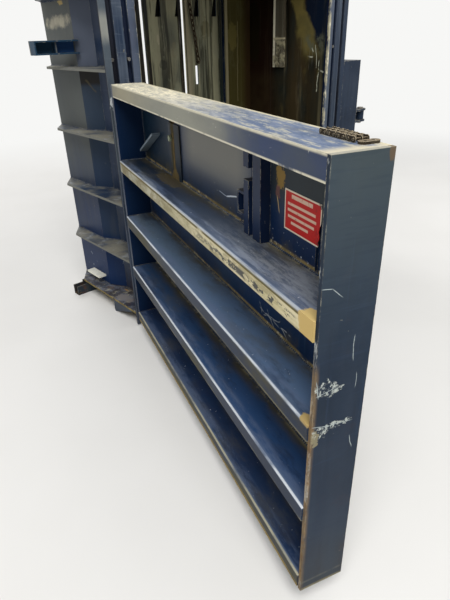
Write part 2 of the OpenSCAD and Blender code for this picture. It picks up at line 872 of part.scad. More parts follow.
// One ear: a flat plate with a round end, bored for the pin
module ear(z0) {
    difference() {
        union() {
            rod_z(latch_x, latch_y, z0, z0 + ear_t, ear_r);
            block(keeper_x, latch_x, latch_y - ear_r, latch_y + ear_r, z0, z0 + ear_t);
        }
        rod_z(latch_x, latch_y, z0 - eps, z0 + ear_t + eps, latch_pin_r + pin_clear);
    }
}
module latch_ears() {
    color("slategray") {
        ear(ear_z - ear_t);
        ear(ear_z + ear_space);
    }
}
module latch_pin() {
    z1 = ear_z + ear_space + ear_t;
    color("silver") {
        rod_z(latch_x, latch_y, ear_z - ear_t - 14, z1, latch_pin_r);
        rod_z(latch_x, latch_y, z1, z1 + 9, latch_pin_r + 8);
    }
}
// Open-fronted channel brackets standing out of the rear posts
module side_lug() {
    z1 = lug_z0 + lug_h;
    y0 = lug_y1 - lug_d;
    block(step_out, lug_x, lug_y1 - lug_t, lug_y1, lug_z0, z1);
    block(step_out, lug_x, y0, lug_y1, lug_z0, lug_z0 + lug_t);
    block(step_out, lug_x, y0, lug_y1, z1 - lug_t, z1);
    block(lug_x - lug_t, lug_x, y0, lug_y1, lug_z0, z1);
    block(lug_web_x, lug_web_x + lug_t, y0 + 20, lug_y1, lug_z0, z1);
}
module side_lugs() {
    color("midnightblue") both() side_lug();
}
module anchor_tab() {
    color("ivory") block(-step_out - tab_w, -step_out, tab_y, tab_y + tab_d, tab_z, tab_z + tab_t);
}

function hinge_z(i) = hinge_z0 + i * hinge_pitch;
leaf_z = knuckle_h / 2 + knuckle_gap;
module hinge_leaves() {
    color("midnightblue") for (i = [0 : hinge_count - 1], s = [-1, 1]) {
        z0 = s < 0 ? hinge_z(i) - leaf_z - leaf_h : hinge_z(i) + leaf_z;
        difference() {
            union() {
                rod_z(hinge_x, hinge_y, z0, z0 + leaf_h, knuckle_r);
                block(hinge_x - knuckle_r + 4, hinge_x + knuckle_r - 4, hinge_y, front_y, z0, z0 + leaf_h);
            }
            rod_z(hinge_x, hinge_y, z0 - eps, z0 + leaf_h + eps, hinge_pin_r + pin_clear);
        }
    }
}
module hinge_pins() {
    color("silver") for (i = [0 : hinge_count - 1]) {
        top = hinge_z(i) + leaf_z + leaf_h;
        rod_z(hinge_x, hinge_y, hinge_z(i) - leaf_z - leaf_h - 8, top, hinge_pin_r);
        rod_z(hinge_x, hinge_y, top, top + 10, hinge_pin_r + 6);
    }
}
// Stop bolts in the gate slots and bolt heads in the recesses
module post_bolts() {
    mid = (slot_x0 + slot_x1) / 2;
    recess_mid = (bar_x1 + recess_x1) / 2;
    color("silver") both() {
        rod_y(mid, front_y + 2, tee_back, stop_z, stop_bolt_r);
        for (i = [-1 : 1])
            translate([recess_mid, front_y + recess_deep, stop_z + i * post_bolt_pitch]) rotate([90, 0, 0])
                hex_head(post_bolt_r, post_bolt_r - 1);
    }
}

// One oval link of round wire standing on its end in the XZ plane
module link() {
    r = (link_w + link_wire) / 2;
    half = (link_in - link_w) / 2;
    for (s = [-1, 1]) {
        rod_z(s * r, 0, -half, half, link_wire / 2);
        translate([0, 0, s * half]) rotate([s * 90, 0, 0]) rotate_extrude(angle = 180)
            translate([r, 0]) circle(r = link_wire / 2);
    }
}
chain_x0 = 149;
chain_x1 = 236;
chain_z0 = 1905;
chain_z1 = 1371;
chain_y = back_y - strip_t - link_wire - link_w / 2 - 1;
chain_len = sqrt((chain_x1 - chain_x0) * (chain_x1 - chain_x0) + (chain_z0 - chain_z1) * (chain_z0 - chain_z1));
link_step = link_in - 0.3;
// Odd, so that both end links face the same way
link_count = 2 * floor((chain_len / link_step - 1) / 2) + 1;
chain_lean = atan((chain_x1 - chain_x0) / (chain_z0 - chain_z1));
// The ejector chain, drawn tight along the back wall between its two eyes
module hanging_chain() {
    color("dimgray") translate([chain_x0, chain_y, chain_z0]) rotate([0, -chain_lean, 0])
        for (i = [0 : link_count - 1])
            translate([0, 0, -(i + 1) * link_step]) rotate([0, 0, i % 2 == 0 ? 0 : 90]) link();
}
// Eye plates on the back wall that hold the chain's two ends
module chain_eyes() {
    eye_r = link_wire / 2 + 1.5;
    rim = eye_r + 5;
    reach = link_in / 2 + eye_r - 0.7;
    color("dimgray") translate([chain_x0, chain_y, chain_z0]) rotate([0, -chain_lean, 0])
        for (z = [reach - link_step, -link_count * link_step - reach])
            translate([0, 0, z]) difference() {
                translate([-2.5, -rim, -rim]) cube([5, rim + back_y - chain_y, 2 * rim]);
                rod_x(-4, 4, 0, 0, eye_r);
            }
}

// Hinge line of the control lid
lid_pin_x = lid_x + 1 + lid_t / 2;
lid_pin_y = control_y - 7;
lid_knuckle = 60;
lid_knuckle_z = [control_z + 30, control_z + control_h - 30 - lid_knuckle];
module control_box() {
    y1 = control_y + control_w;
    color("lightgray") {
        difference() {
            block(control_x, lid_x, control_y, y1, control_z, control_z + control_h);
            block(control_x + control_t, lid_x + eps, control_y + control_t, y1 - control_t,
                  control_z + control_t, control_z + control_h - control_t);
        }
        for (z = lid_knuckle_z) {
            rod_z(lid_pin_x, lid_pin_y, z - 22, z - 1, 6);
            block(lid_x - 30, lid_pin_x, lid_pin_y - 4, control_y, z - 22, z - 1);
            rod_z(lid_pin_x, lid_pin_y, z - 2, z + lid_knuckle + 6, 3);
        }
    }
}
module tray_shaft() {
    color("silver") {
        rod_x(-tray_w / 2, tray_w / 2, shaft_y, shaft_z, shaft_r);
        for (x = tray_lug_x)
            block(x - tray_lug_t / 2, x + tray_lug_t / 2, shaft_y - 13, shaft_y + 13,
                  base_top, shaft_z + 13);
    }
}

module gate_sheet() {
    color("slategray")
        block(-gate_x, gate_x, gate_front, gate_front + gate_t, gate_z0, gate_z0 + gate_h);
}
// Angle bars across the gate and its handle
module gate_frame() {
    t = 6;
    color("slategray") {
        for (z = [gate_z0, gate_z0 + gate_h / 2, gate_z0 + gate_h - gate_rim]) {
            block(-gate_x, gate_x, gate_front - gate_rim, gate_front, z, z + t);
            block(-gate_x, gate_x, gate_front - gate_rim, gate_front - gate_rim + t, z, z + gate_rim);
        }
        for (x = [-handle_x, handle_x])
            rod_y(x, gate_front - handle_out, gate_front, gate_z0 + handle_x, handle_r);
        rod_x(-handle_x, handle_x, gate_front - handle_out, gate_z0 + handle_x, handle_r);
    }
}
module gate_shoe(z) {
    block(slot_x0 + shoe_play, slot_x1 - shoe_play, gate_front + gate_t, plate_back + shoe_play + eps,
          z, z + shoe_h);
    block(tee_x0 + shoe_play, tee_x1 - shoe_play, plate_back + shoe_play, tee_back - shoe_play,
          z, z + shoe_h);
}
module gate_shoes() {
    color("ivory") both() for (h = [shoe_low, shoe_high])
        gate_shoe(gate_z0 + h);
}

// Ram face: bottom plate with wire grooves, ribs and a top plate
module platen() {
    rib_n = 6;
    bay = 2 * platen_x / rib_n;
    z1 = platen_z0 + platen_t;
    color("darkslategray") difference() {
        union() {
            block(-platen_x, platen_x, platen_y0, platen_y1, platen_z0, z1);
            block(-platen_x, platen_x, platen_y0, platen_y1, platen_top - platen_t, platen_top);
            for (i = [0 : rib_n]) {
                x = -platen_x + i * (2 * platen_x - platen_t) / rib_n;
                block(x, x + platen_t, platen_y0, platen_y1, z1 - eps, platen_top - platen_t + eps);
            }
            block(-platen_x, platen_x, -platen_t / 2, platen_t / 2, z1 - eps, platen_top - platen_t + eps);
        }
        both() block(wall_x - rail_t - 6, wall_x, rail_y - rail_w / 2 - 6, rail_y + rail_w / 2 + 6,
                     platen_z0 - eps, platen_top + eps);
        for (x = wire_x)
            block(x - wire_slot_w / 2, x + wire_slot_w / 2, platen_y0 - eps, platen_y1 + eps,
                  platen_z0 - eps, platen_z0 + platen_t / 2);
    }
}
// Wear shoes on the platen's sides
module platen_shoes() {
    color("ivory") both() for (y = [platen_y0 + wear_front, platen_y1 - wear_rear - wear_w])
        block(platen_x, platen_x + shoe_stand, y, y + wear_w, platen_z0 + shoe_edge, platen_top - shoe_edge);
}
module ram_rod() {
    color("silver") {
        rod_z(0, 0, platen_top, platen_top + ram_flange_t, ram_flange_r);
        bolt_ring(ram_flange_r - 25, 6, platen_top + ram_flange_t, platen_top + ram_flange_t + 12, 12);
        rod_z(0, 0, platen_top + ram_flange_t, piston_z, ram_r);
        rod_z(0, 0, piston_z, piston_z + piston_t, barrel_r - barrel_wall - pin_clear);
    }
}

function shelf_top(i) = shelf_z0 + i * shelf_pitch;
module door_skin() {
    color("midnightblue") on_door() difference() {
        door_box(stile_d, door_in, 0, skin_t, door_z0, door_z1 - top_t);
        door_box(groove_p, groove_p + groove_w, skin_t - 8, skin_t + eps, shelf_top(3) + 4,
                 shelf_top(3) + 150);
    }
}
module door_top() {
    color("lightslategray") on_door() {
        door_box(stile_d, door_in, 0, door_t, door_z1 - top_t, door_z1);
        door_box(stile_d, door_in, door_t - top_t, door_t, door_z1 - top_lip, door_z1 - top_t);
    }
}
// Four lipped shelves across the door
module door_shelves() {
    q1 = door_t + shelf_proud;
    color("midnightblue") on_door() for (i = [0 : shelf_count - 1]) {
        z = shelf_top(i);
        door_box(stile_d, door_in, skin_t, q1, z - door_sheet, z);
        door_box(stile_d, door_in, q1 - door_sheet, q1, z - shelf_lip, z - door_sheet + 0.01);
    }
}
module door_end() {
    color("midnightblue") on_door() door_box(door_in, door_l, 0, door_t, door_z0, door_z1);
}
// Hinge stile: a channel open towards the hinges
module door_stile() {
    color("midnightblue") on_door() difference() {
        door_box(0, stile_d, 0, door_t, door_z0, door_z1);
        door_box(-eps, stile_d - wall_t, wall_t, door_t - wall_t, door_z0 - eps, door_z1 + eps);
    }
}
module door_knuckles() {
    arm = 16;
    color("midnightblue") on_door() for (i = [0 : hinge_count - 1]) {
        z0 = hinge_z(i) - knuckle_h / 2;
        difference() {
            union() {
                rod_z(-hinge_side, -hinge_in, z0, z0 + knuckle_h, knuckle_r);
                door_box(-hinge_side, stile_d - wall_t, hinge_in - arm, hinge_in + arm, z0, z0 + knuckle_h);
            }
            rod_z(-hinge_side, -hinge_in, z0 - eps, z0 + knuckle_h + eps, hinge_pin_r + pin_clear);
        }
    }
}
// Slotted wire guide in the top bay, with its small open box
module door_guide() {
    z0 = shelf_top(3);
    z1 = door_z1 - top_t;
    q1 = skin_t + guide_d;
    slot_p = guide_p + guide_d;
    web = 7;
    window = [165, 201];
    box_z = z0 + 48;
    color("darkslategray") on_door() {
        difference() {
            door_box(guide_p, guide_p + guide_w, skin_t, q1, z0, z1);
            door_box(slot_p, slot_p + guide_slot_w, skin_t + web, q1 + eps, z0 - eps, z1 + eps);
            door_box(guide_p - eps, slot_p + eps, skin_t + web, q1 + eps, z0 + window[0], z0 + window[1]);
        }
        difference() {
            door_box(guide_p - guide_box_w, guide_p, skin_t, q1 - 5, box_z, box_z + guide_box_h);
            door_box(guide_p - guide_box_w + web, guide_p - web, skin_t + 5, q1, box_z + web,
                     box_z + guide_box_h - web);
        }
    }
}
// Slanted bar, strap and bolt near the hinge end of the top bay
module door_brackets() {
    z0 = shelf_top(3);
    lean = 25;
    color("slategray") on_door() {
        translate([brace_p, -skin_t, z0 + brace_w + 4]) rotate([0, -lean, 0]) translate([0, -brace_w, 0])
            cube([brace_l, brace_w, brace_t]);
        door_box(strap_p, strap_p + strap_w, skin_t, skin_t + strap_t, z0, z0 + strap_h);
        translate([strap_p + 2 * strap_bolt_r + 1, -skin_t - strap_t, z0 + strap_h - 60]) rotate([90, 0, 0])
            hex_head(strap_bolt_r, strap_bolt_r - 3);
    }
}

// Plate of the roller chain: two round ends joined by a straight
plate_relief = 0.6;
module chain_plate(y, t) {
    r = roller_plate_h / 2;
    for (x = [0, roller_pitch])
        rod_y(x, y, y + t, 0, r);
    translate([0, y, plate_relief - r]) cube([roller_pitch, t, 2 * (r - plate_relief)]);
}
roller_r = 5.08;
roller_pin_r = 2.54;
strand = 16.59;
roller_inside = 9.65;
roller_plate_t = 1.6;
roller_clear = 0.15;
pin_out = 2;
// One outer link: plates and two pins through both strands
module outer_link() {
    out = strand / 2 + roller_inside / 2 + 2 * roller_plate_t + 2 * roller_clear;
    for (x = [0, roller_pitch])
        rod_y(x, -out - pin_out, out + pin_out, 0, roller_pin_r);
    chain_plate(-out, roller_plate_t);
    chain_plate(out - roller_plate_t, roller_plate_t);
    chain_plate(-roller_plate_t / 2, roller_plate_t);
}
// One inner link on one strand: two plates and two hollow rollers
module inner_link(y) {
    w = roller_inside / 2;
    difference() {
        union() {
            chain_plate(y - w - roller_plate_t, roller_plate_t);
            chain_plate(y + w, roller_plate_t);
            for (x = [0, roller_pitch])
                rod_y(x, y - w - eps, y + w + eps, 0, roller_r);
        }
        for (x = [0, roller_pitch])
            rod_y(x, y - w - 2 * roller_plate_t, y + w + 2 * roller_plate_t, 0, roller_pin_r + roller_clear);
    }
}
// Places of the chain and of its end plate on the door's top
chain_p = 1586.5;
chain_q = 32;
end_plate_p = 1716;
end_plate_q = 26;
end_plate_r = 10;
end_plate_l = 28;
end_plate_t = 6;
end_hole_r = 4;
// The chain left lying on the door, with its flat end plate
module door_chain() {
    color("dimgray") on_door() {
        translate([chain_p, -chain_q, door_z1 + roller_plate_h / 2]) for (i = [0 : roller_links - 1])
            translate([i * roller_pitch, 0, 0]) {
                if (i % 2 == 0) outer_link();
                else {
                    inner_link(-strand / 2);
                    inner_link(strand / 2);
                }
            }
        translate([end_plate_p, -end_plate_q, door_z1]) difference() {
            union() {
                block(-end_plate_r, end_plate_r, -end_plate_l / 2, end_plate_l / 2, 0, end_plate_t);
                for (s = [-1, 1])
                    rod_z(0, s * end_plate_l / 2, 0, end_plate_t, end_plate_r);
            }
            for (s = [-1, 1])
                rod_z(0, s * end_plate_l / 3, -eps, end_plate_t + eps, end_hole_r);
        }
    }
}

// What is drawn for the closed latch, turned back to its rest beside the baler
module on_latch() {
    translate([latch_x, latch_y, 0]) rotate([0, 0, latch_turn]) children();
}
module latch_arm() {
    z0 = latch_mid - latch_arm_h / 2;
    z1 = latch_mid + latch_arm_h / 2;
    color("slategray") on_latch() difference() {
        union() {
            rod_z(0, 0, z0, z1, 30);
            block(-arm_back, arm_back, -arm_reach, 0, z0, z1);
            block(-arm_side, arm_back, -arm_reach - arm_back, -arm_reach + arm_back, z0, z1);
            rod_y(-arm_side, -arm_reach - 28, -arm_reach + 22, latch_mid, boss_r + 6);
        }
        rod_z(0, 0, z0 - eps, z1 + eps, latch_pin_r + pin_clear);
        rod_y(-arm_side, -arm_reach - 30, -arm_reach + 30, latch_mid, screw_r + pin_clear);
    }
}
// Screw drawn back, with its pressure pad; it slides while the wheel turns on its thread
module clamp_screw() {
    color("silver") on_latch() {
        rod_y(-arm_side, -arm_reach - 100, -arm_reach + 24 + pad_t, latch_mid, screw_r);
        rod_y(-arm_side, -arm_reach + 24, -arm_reach + 24 + pad_t, latch_mid, boss_r);
    }
}
module hand_wheel() {
    y1 = -arm_reach - 28.5;
    y0 = y1 - 26;
    color("firebrick") on_latch() translate([-arm_side, 0, latch_mid]) {
        difference() {
            union() {
                rod_y(0, y0, y1, 0, 26);
                for (a = [0, 120, 240])
                    rotate([0, a, 0]) translate([0, y0 + 13, 0]) cylinder(h = wheel_r, r = 7);
                translate([0, y0 + 13, 0]) rotate([90, 0, 0]) rotate_extrude()
                    translate([wheel_r, 0]) circle(r = 10);
            }
            rod_y(0, y0 - eps, y1 + eps, 0, screw_r + pin_clear);
        }
    }
}

module ejector_tray() {
    color("darkslategray") {
        block(-tray_w / 2, tray_w / 2, tray_front, tray_front + tray_d, tray_z, tray_z + tray_t);
        for (x = [-tray_w / 2 + 40, 0, tray_w / 2 - 40])
            block(x - 20, x + 20, tray_front + 30, tray_front + tray_d - 20, base_top, tray_z + eps);
        for (x = [-520, 0, 520])
            difference() {
                union() {
                    rod_x(x - 30, x + 30, shaft_y, shaft_z, 14);
                    block(x - 30, x + 30, shaft_y, tray_front + 10, tray_z, tray_z + tray_t);
                }
                rod_x(x - 32, x + 32, shaft_y, shaft_z, shaft_r + pin_clear);
            }
    }
}

button_hole = button_r - 3;
module control_lid() {
    x0 = lid_x + 1;
    y1 = control_y + control_w;
    color("lightgray") difference() {
        union() {
            block(x0, x0 + lid_t, control_y, y1, control_z, control_z + control_h);
            for (z = lid_knuckle_z) {
                rod_z(lid_pin_x, lid_pin_y, z, z + lid_knuckle, 6);
                block(x0 + 2, lid_pin_x, lid_pin_y, control_y + eps, z, z + lid_knuckle);
            }
        }
        for (z = lid_knuckle_z)
            rod_z(lid_pin_x, lid_pin_y, z - eps, z + lid_knuckle + eps, 3 + pin_clear);
        for (z = [button_z[0], button_z[1], stop_button_z])
            rod_x(x0 - eps, x0 + lid_t + eps, control_mid, z, button_hole);
    }
}
// A button: head proud of the lid on a stem that slides in its hole
module button(z, head_r, out) {
    x = lid_x + 1 + lid_t;
    rod_x(x + button_press + 1, x + button_press + out, control_mid, z, head_r);
    rod_x(x - lid_t - 10, x + button_press + 1.1, control_mid, z, button_hole - pin_clear);
}
module raise_button() {
    color("green") button(button_z[0], button_r, 8);
}
module lower_button() {
    color("black") button(button_z[1], button_r, 8);
}
module stop_button() {
    color("red") button(stop_button_z, mushroom_r, 16);
}

base_plate();
front_foot();
rear_foot();
center_sill();
side_walls();
rear_post_left();
rear_post_right();
side_ribs();
post_left();
post_right();
back_wall();
back_strips();
back_ribs();
pocket_cover();
wall_rails();
front_cover();
head_beams();
cylinder_plate();
cylinder_barrel();
cylinder_gland();
cylinder_cap();
oil_tank();
pump_motor();
valve_block();
oil_pipes();
keeper_box();
latch_ears();
latch_pin();
side_lugs();
anchor_tab();
hinge_leaves();
hinge_pins();
post_bolts();
hanging_chain();
chain_eyes();
control_box();
tray_shaft();
gate_sheet();
gate_frame();
gate_shoes();
platen();
platen_shoes();
ram_rod();
door_skin();
door_top();
door_shelves();
door_end();
door_stile();
door_knuckles();
door_guide();
door_brackets();
door_chain();
latch_arm();
clamp_screw();
hand_wheel();
ejector_tray();
control_lid();
raise_button();
lower_button();
stop_button();
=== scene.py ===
import math
import random
import bpy
from mathutils import Matrix, Vector


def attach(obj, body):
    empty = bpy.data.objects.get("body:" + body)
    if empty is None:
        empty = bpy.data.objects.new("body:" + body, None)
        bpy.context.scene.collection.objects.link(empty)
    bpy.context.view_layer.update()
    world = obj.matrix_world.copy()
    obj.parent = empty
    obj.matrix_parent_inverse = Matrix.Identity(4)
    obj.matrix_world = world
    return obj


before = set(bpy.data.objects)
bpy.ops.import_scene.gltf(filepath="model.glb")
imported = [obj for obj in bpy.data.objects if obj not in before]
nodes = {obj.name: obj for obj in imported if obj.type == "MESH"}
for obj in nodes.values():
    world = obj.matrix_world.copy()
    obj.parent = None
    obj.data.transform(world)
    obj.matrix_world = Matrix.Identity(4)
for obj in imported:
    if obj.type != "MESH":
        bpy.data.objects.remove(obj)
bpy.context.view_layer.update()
print("frame loaded:", len(nodes), "nodes")

# Where the camera stood: place, aim and roll of the photograph
camera = {
    "place": (-2.2055, -2.656, 1.527),
    "aim": (.5786, .6657, -.4713),
    "side": (.7548, -.656, 0),
    "roll": math.radians(1.75),
    "lens": 29.96,
    "film": 36,
    "clip": (.05, 200),
}

# Soft lamps above and beside the baler: place, size, power
studio = {
    "key": ((-3.4, -4.2, 6.2), 4.5, 430),
    "fill": ((4.5, -3.5, 4.0), 4.0, 110),
    "rim": ((1.5, 5.5, 5.5), 5.0, 200),
    "lampAim": (0, 0, 1.0),
    "ambient": .42,
    "backdrop": (.93, .93, .915, 1),
    "floorColour": (.8, .79, .765, 1),
    "floorFade": (2.9, 6.5),
    "floorRadius": 60,
}


# Colours are written as on a screen, three values from 0 to 255, and made linear here
def shade(colour):
    parts = [c / 255 for c in colour]
    return tuple(c / 12.92 if c < .04 else ((c + .055) / 1.055) ** 2.4 for c in parts) + (1,)


class Wire:
    # one socket that takes part in sums; each sum adds its Math node
    def __init__(self, finish, socket):
        self.finish = finish
        self.socket = socket

    def sum(self, operation, *values):
        return self.finish.add("Math", {"operation": operation}, values)

    def __add__(self, other):
        return self.sum("ADD", self, other)

    def __sub__(self, other):
        return self.sum("SUBTRACT", self, other)

    def __rsub__(self, other):
        return self.sum("SUBTRACT", other, self)

    def __mul__(self, other):
        return self.sum("MULTIPLY", self, other)

    def __truediv__(self, other):
        return self.sum("DIVIDE", self, other)

    __radd__ = __add__
    __rmul__ = __mul__

    def size(self):
        return self.sum("ABSOLUTE", self)

    def over(self, other):
        return self.sum("MAXIMUM", self, other)

    # another output of the same node
    def also(self, key):
        return Wire(self.finish, self.socket.node.outputs[key])


class Graph:
    # the nodes of a material or of the world
    def __init__(self, owner):
        owner.use_nodes = True
        self.tree = owner.node_tree
        self.tree.nodes.clear()

    # any node: its settings first, then the values or links of its sockets
    def add(self, kind, settings=None, inputs=(), out=0):
        node = self.tree.nodes.new("ShaderNode" + kind)
        for key, value in (settings or {}).items():
            setattr(node, key, value)
        pairs = inputs.items() if isinstance(inputs, dict) else enumerate(inputs)
        for key, value in pairs:
            if isinstance(value, Wire):
                self.tree.links.new(value.socket, node.inputs[key])
            else:
                node.inputs[key].default_value = value
        return Wire(self, node.outputs[out]) if len(node.outputs) else node


class Finish(Graph):
    # a material built up in layers, as paint, wear and dirt are
    def __init__(self, name, colour, rough=.45, metal=0):
        self.material = bpy.data.materials.new(name)
        super().__init__(self.material)
        self.place = self.add("TexCoord", out=3)
        self.x, self.y, self.z = self.axes(self.place)
        self.colour, self.rough, self.metal, self.height = colour, rough, metal, 0

    def axes(self, vector):
        first = self.add("SeparateXYZ", {}, [vector])
        return first, first.also(1), first.also(2)

    # the surface's own direction, fixed to the piece
    def facing(self):
        return self.axes(self.add("TexCoord", out=1))

    # 0 below low and 1 above high, or the other way where low is the larger
    def ramp(self, value, low, high):
        return self.add("MapRange", {"interpolation_type": "SMOOTHSTEP"}, [value, low, high, 0, 1])

    def band(self, value, low, high, soft):
        return self.ramp(value, low - soft, low + soft) * self.ramp(value, high + soft, high - soft)

    def blend(self, mask, a, b):
        a, b = (shade(c) if isinstance(c, tuple) and len(c) == 3 else c for c in (a, b))
        return self.add("Mix", {"data_type": "RGBA"}, {0: mask, 6: a, 7: b}, out=2)

    # clouds, or streaks where stretch is uneven; a wide, even spread from 0 to 1
    def noise(self, scale, detail=4, rough=.55, stretch=(1, 1, 1), move=(0, 0, 0), place=None,
              low=.34, high=.66):
        spot = self.add("Mapping", {}, {0: place or self.place, 1: move, 3: stretch})
        look = {"Vector": spot, "Scale": scale, "Detail": detail, "Roughness": rough}
        return self.ramp(self.add("TexNoise", {}, look), low, high)

    # noise by where it starts and ends: plain patches, runs that hang down, rubs along the door
    def patches(self, scale, detail, rough, low, high, move=(0, 0, 0)):
        return self.noise(scale, detail, rough, low=low, high=high, move=move)

    def runs(self, scale, detail, rough, squeeze, low, high, move=(0, 0, 0)):
        return self.noise(scale, detail, rough, (1, 1, squeeze), move, None, low, high)

    def rubs(self, scale, detail, rough, squeeze, low, high, move=(0, 0, 0)):
        return self.noise(scale, detail, rough, (squeeze, 1, 1), move, self.flat, low, high)

    # small separate spots, more of them as share grows
    def specks(self, scale, share, soft=.03, stretch=(1, 1, 1), move=(0, 0, 0)):
        least = .78 - share
        return self.noise(scale, 3, .6, stretch, move, None, least - soft, least + soft)

    # 1 along the piece's own edges, fading over width
    def edges(self, width):
        soft = self.add("Bevel", {"samples": 6}, {"Radius": width})
        true = self.add("NewGeometry", out=3)
        level = self.add("VectorMath", {"operation": "DOT_PRODUCT"}, [soft, true], out=1)
        return self.ramp(level, .995, .86)

    # a spot with a ragged rim on two of the axes
    def spot(self, a, b, middle, reach, ragged=.5, scale=30):
        far = self.sumOfSquares((a - middle[0]) / reach[0], (b - middle[1]) / reach[1])
        rim = self.noise(scale, 4, .65, low=.3, high=.7)
        return self.ramp(far + (rim - .5) * ragged * 2, 1.2, .8)

    def sumOfSquares(self, a, b):
        return a * a + b * b

    # a thin scratch between two points, wavering a little
    def scratch(self, a, b, start, end, width=.002, waver=.004):
        run = math.hypot(end[0] - start[0], end[1] - start[1])
        ca, sa = (end[0] - start[0]) / run, (end[1] - start[1]) / run
        along = (a - start[0]) * ca + (b - start[1]) * sa
        bend = (self.noise(9, 2) - .5) * waver
        across = ((b - start[1]) * ca - (a - start[0]) * sa + bend).size()
        return self.band(along, 0, run, .006) * self.ramp(across, width, width * .45)

    # one more coat over what is there, where mask is 1
    def coat(self, mask, colour=None, rough=None, metal=None, height=None):
        if colour is not None:
            self.colour = self.blend(mask, self.colour, colour)
        if rough is not None:
            self.rough = mask * (rough - self.rough) + self.rough
        if metal is not None:
            self.metal = mask * (metal - self.metal) + self.metal
        if height is not None:
            self.height = mask * height + self.height

    def close(self, sheen=.1):
        inputs = {"Base Color": self.colour, "Roughness": self.rough, "Metallic": self.metal,
                  "Specular IOR Level": sheen}
        if isinstance(self.height, Wire):
            bump = {"Strength": .5, "Distance": .001, "Height": self.height}
            inputs["Normal"] = self.add("Bump", {}, bump)
        shader = self.add("BsdfPrincipled", {}, inputs)
        self.add("OutputMaterial", {}, [shader])
        return self.material


def dress(material, *names):
    for name in names:
        slots = nodes[name].data.materials
        slots.clear()
        slots.append(material)


# Blue enamel as it has aged: the colours and how much of each fault
paint = {
    "deep": (8, 26, 50),
    "plain": (18, 42, 74),
    "faded": (50, 70, 92),
    "film": (88, 92, 94),
    "dust": (116, 112, 102),
    "primer": (172, 168, 148),
    "rust": (104, 66, 38),
    "oldRust": (56, 42, 32),
    "soot": (16, 20, 30),
    "gloss": .34,
    "filmShare": .22,
    "dustShare": .45,
    "edgeShare": .45,
    "edgeWidth": .0035,
    "chipShare": .045,
    "rustShare": .3,
    "grimeTop": .22,
}


# The common build of aged paint, before a part's own marks go over it
def agedPaint(name, **changes):
    look = {**paint, **changes}
    f = Finish(name, look["plain"], look["gloss"])
    up = f.ramp(f.facing()[2], .55, .9)
    f.up = up
    broad = f.noise(1.7, 3)
    f.coat(broad * .7, look["deep"], look["gloss"] - .04)
    f.coat(f.noise(3.1, 5, .6, move=(3, 1, 7)) * .35, look["faded"])
    # thin runs of dust and old oil down the upright faces
    runs = f.runs(14, 5, .6, .09, .34, .66) * f.noise(1.3, 2, move=(5, 5, 5))
    f.coat(runs * (1 - up) * look["filmShare"], look["film"], .55)
    f.coat(f.runs(26, 4, .7, .05, .5, .7, (9, 2, 0)) * (1 - up) * .25, look["soot"], .4)
    # dust that lies on upward faces, rubbed off in patches
    lying = f.patches(5, 6, .65, .3, .62, (1, 8, 3))
    f.coat(up * lying * look["dustShare"], look["dust"], .75)
    # fine rubbed scratches, two ways
    f.coat(f.runs(60, 3, .7, .04, .6, .68) * .35, look["faded"], .5)
    f.coat(f.noise(60, 3, .7, stretch=(.05, .05, 1), move=(4, 4, 4), low=.61, high=.68) * .3,
           look["faded"], .5)
    # edges knocked to primer and bare metal, broken along their length
    edge = f.edges(look["edgeWidth"])
    broken = f.noise(22, 5, .7, low=.62 - look["edgeShare"] * .4, high=.74 - look["edgeShare"] * .4)
    f.coat(edge * broken, look["primer"], .6, height=-.25)
    f.coat(edge * f.patches(70, 4, .7, .5, .6, (2, 7, 1)), look["oldRust"], .8)
    # chips through the paint, a dark core in the bigger ones
    chips = f.specks(46, look["chipShare"])
    f.coat(chips * .8, look["primer"], .6, height=-.3)
    f.coat(f.specks(46, look["chipShare"] - .02), look["oldRust"], .85)
    # rust bleeding in patches, more near the floor
    low = f.ramp(f.z, look["grimeTop"] + .15, .02)
    bleed = f.patches(6, 6, .7, .56, .66, (7, 3, 2))
    f.coat(bleed * (low * .6 + .08) * look["rustShare"] * 2, look["rust"], .85)
    f.coat(low * f.runs(11, 5, .65, .4, .34, .66) * .7, look["oldRust"], .85)
    # brushed enamel and its orange peel
    f.height = f.height + f.noise(420, 2) * .05 + f.patches(7, 2, .55, .2, .8) * .25
    return f


# Door places: p along it from the hinge end, q out from the bale face, in metres
door = {
    "turn": math.radians(107.86),
    "hinge": (-.828, -.4254),
    "side": .045,
    "back": .0414,
    "skin": .013,
    "deep": .143,
    "shelves": (.142, .42467, .70734, .99001),
}

# Marks on the door by p or q and z: chips under the first shelf's lip, and the end plate's scrape
doorMarks = {
    "cobweb": (((1.25, .752), (1.33, .742)), ((1.3, .76), (1.345, .722)), ((1.335, .748), (1.44, .735)),
               ((1.275, .738), (1.38, .762)), ((1.39, .742), (1.42, .716)), ((1.255, .768), (1.272, .735))),
    "torn": (((.112, .812), (.032, .022)), ((.086, .803), (.02, .01)), ((.118, .684), (.024, .018)),
             ((.07, .694), (.044, .009))),
    "lines": (((.142, .706), (.098, .694), .0016), ((.1, .694), (.03, .692), .0012),
              ((.136, .838), (.128, .792), .0013), ((.136, .8), (.084, .806), .0014),
              ((.142, 1.066), (.118, 1.062), .0013), ((.118, 1.062), (.094, 1.04), .0011),
              ((.046, .935), (.042, .872), .0011), ((.031, .83), (.03, .792), .0012),
              ((.026, .64), (.022, .6), .001)),
}


def doorAxes(f):
    c, s = math.cos(door["turn"]), math.sin(door["turn"])
    hx, hy = door["hinge"]
    start = (-(c * hx - s * hy) - door["side"], -(s * hx + c * hy) - door["back"], 0)
    turned = f.add("Mapping", {}, {0: f.place, 1: start, 2: (0, 0, door["turn"])})
    f.flat = turned
    p, back, z = f.axes(turned)
    return p, back * -1, z


def onDoor(p, q, z):
    c, s = math.cos(-door["turn"]), math.sin(-door["turn"])
    x, y = door["side"] + p, door["back"] - q
    return Vector((door["hinge"][0] + c * x - s * y, door["hinge"][1] + s * x + c * y, z))


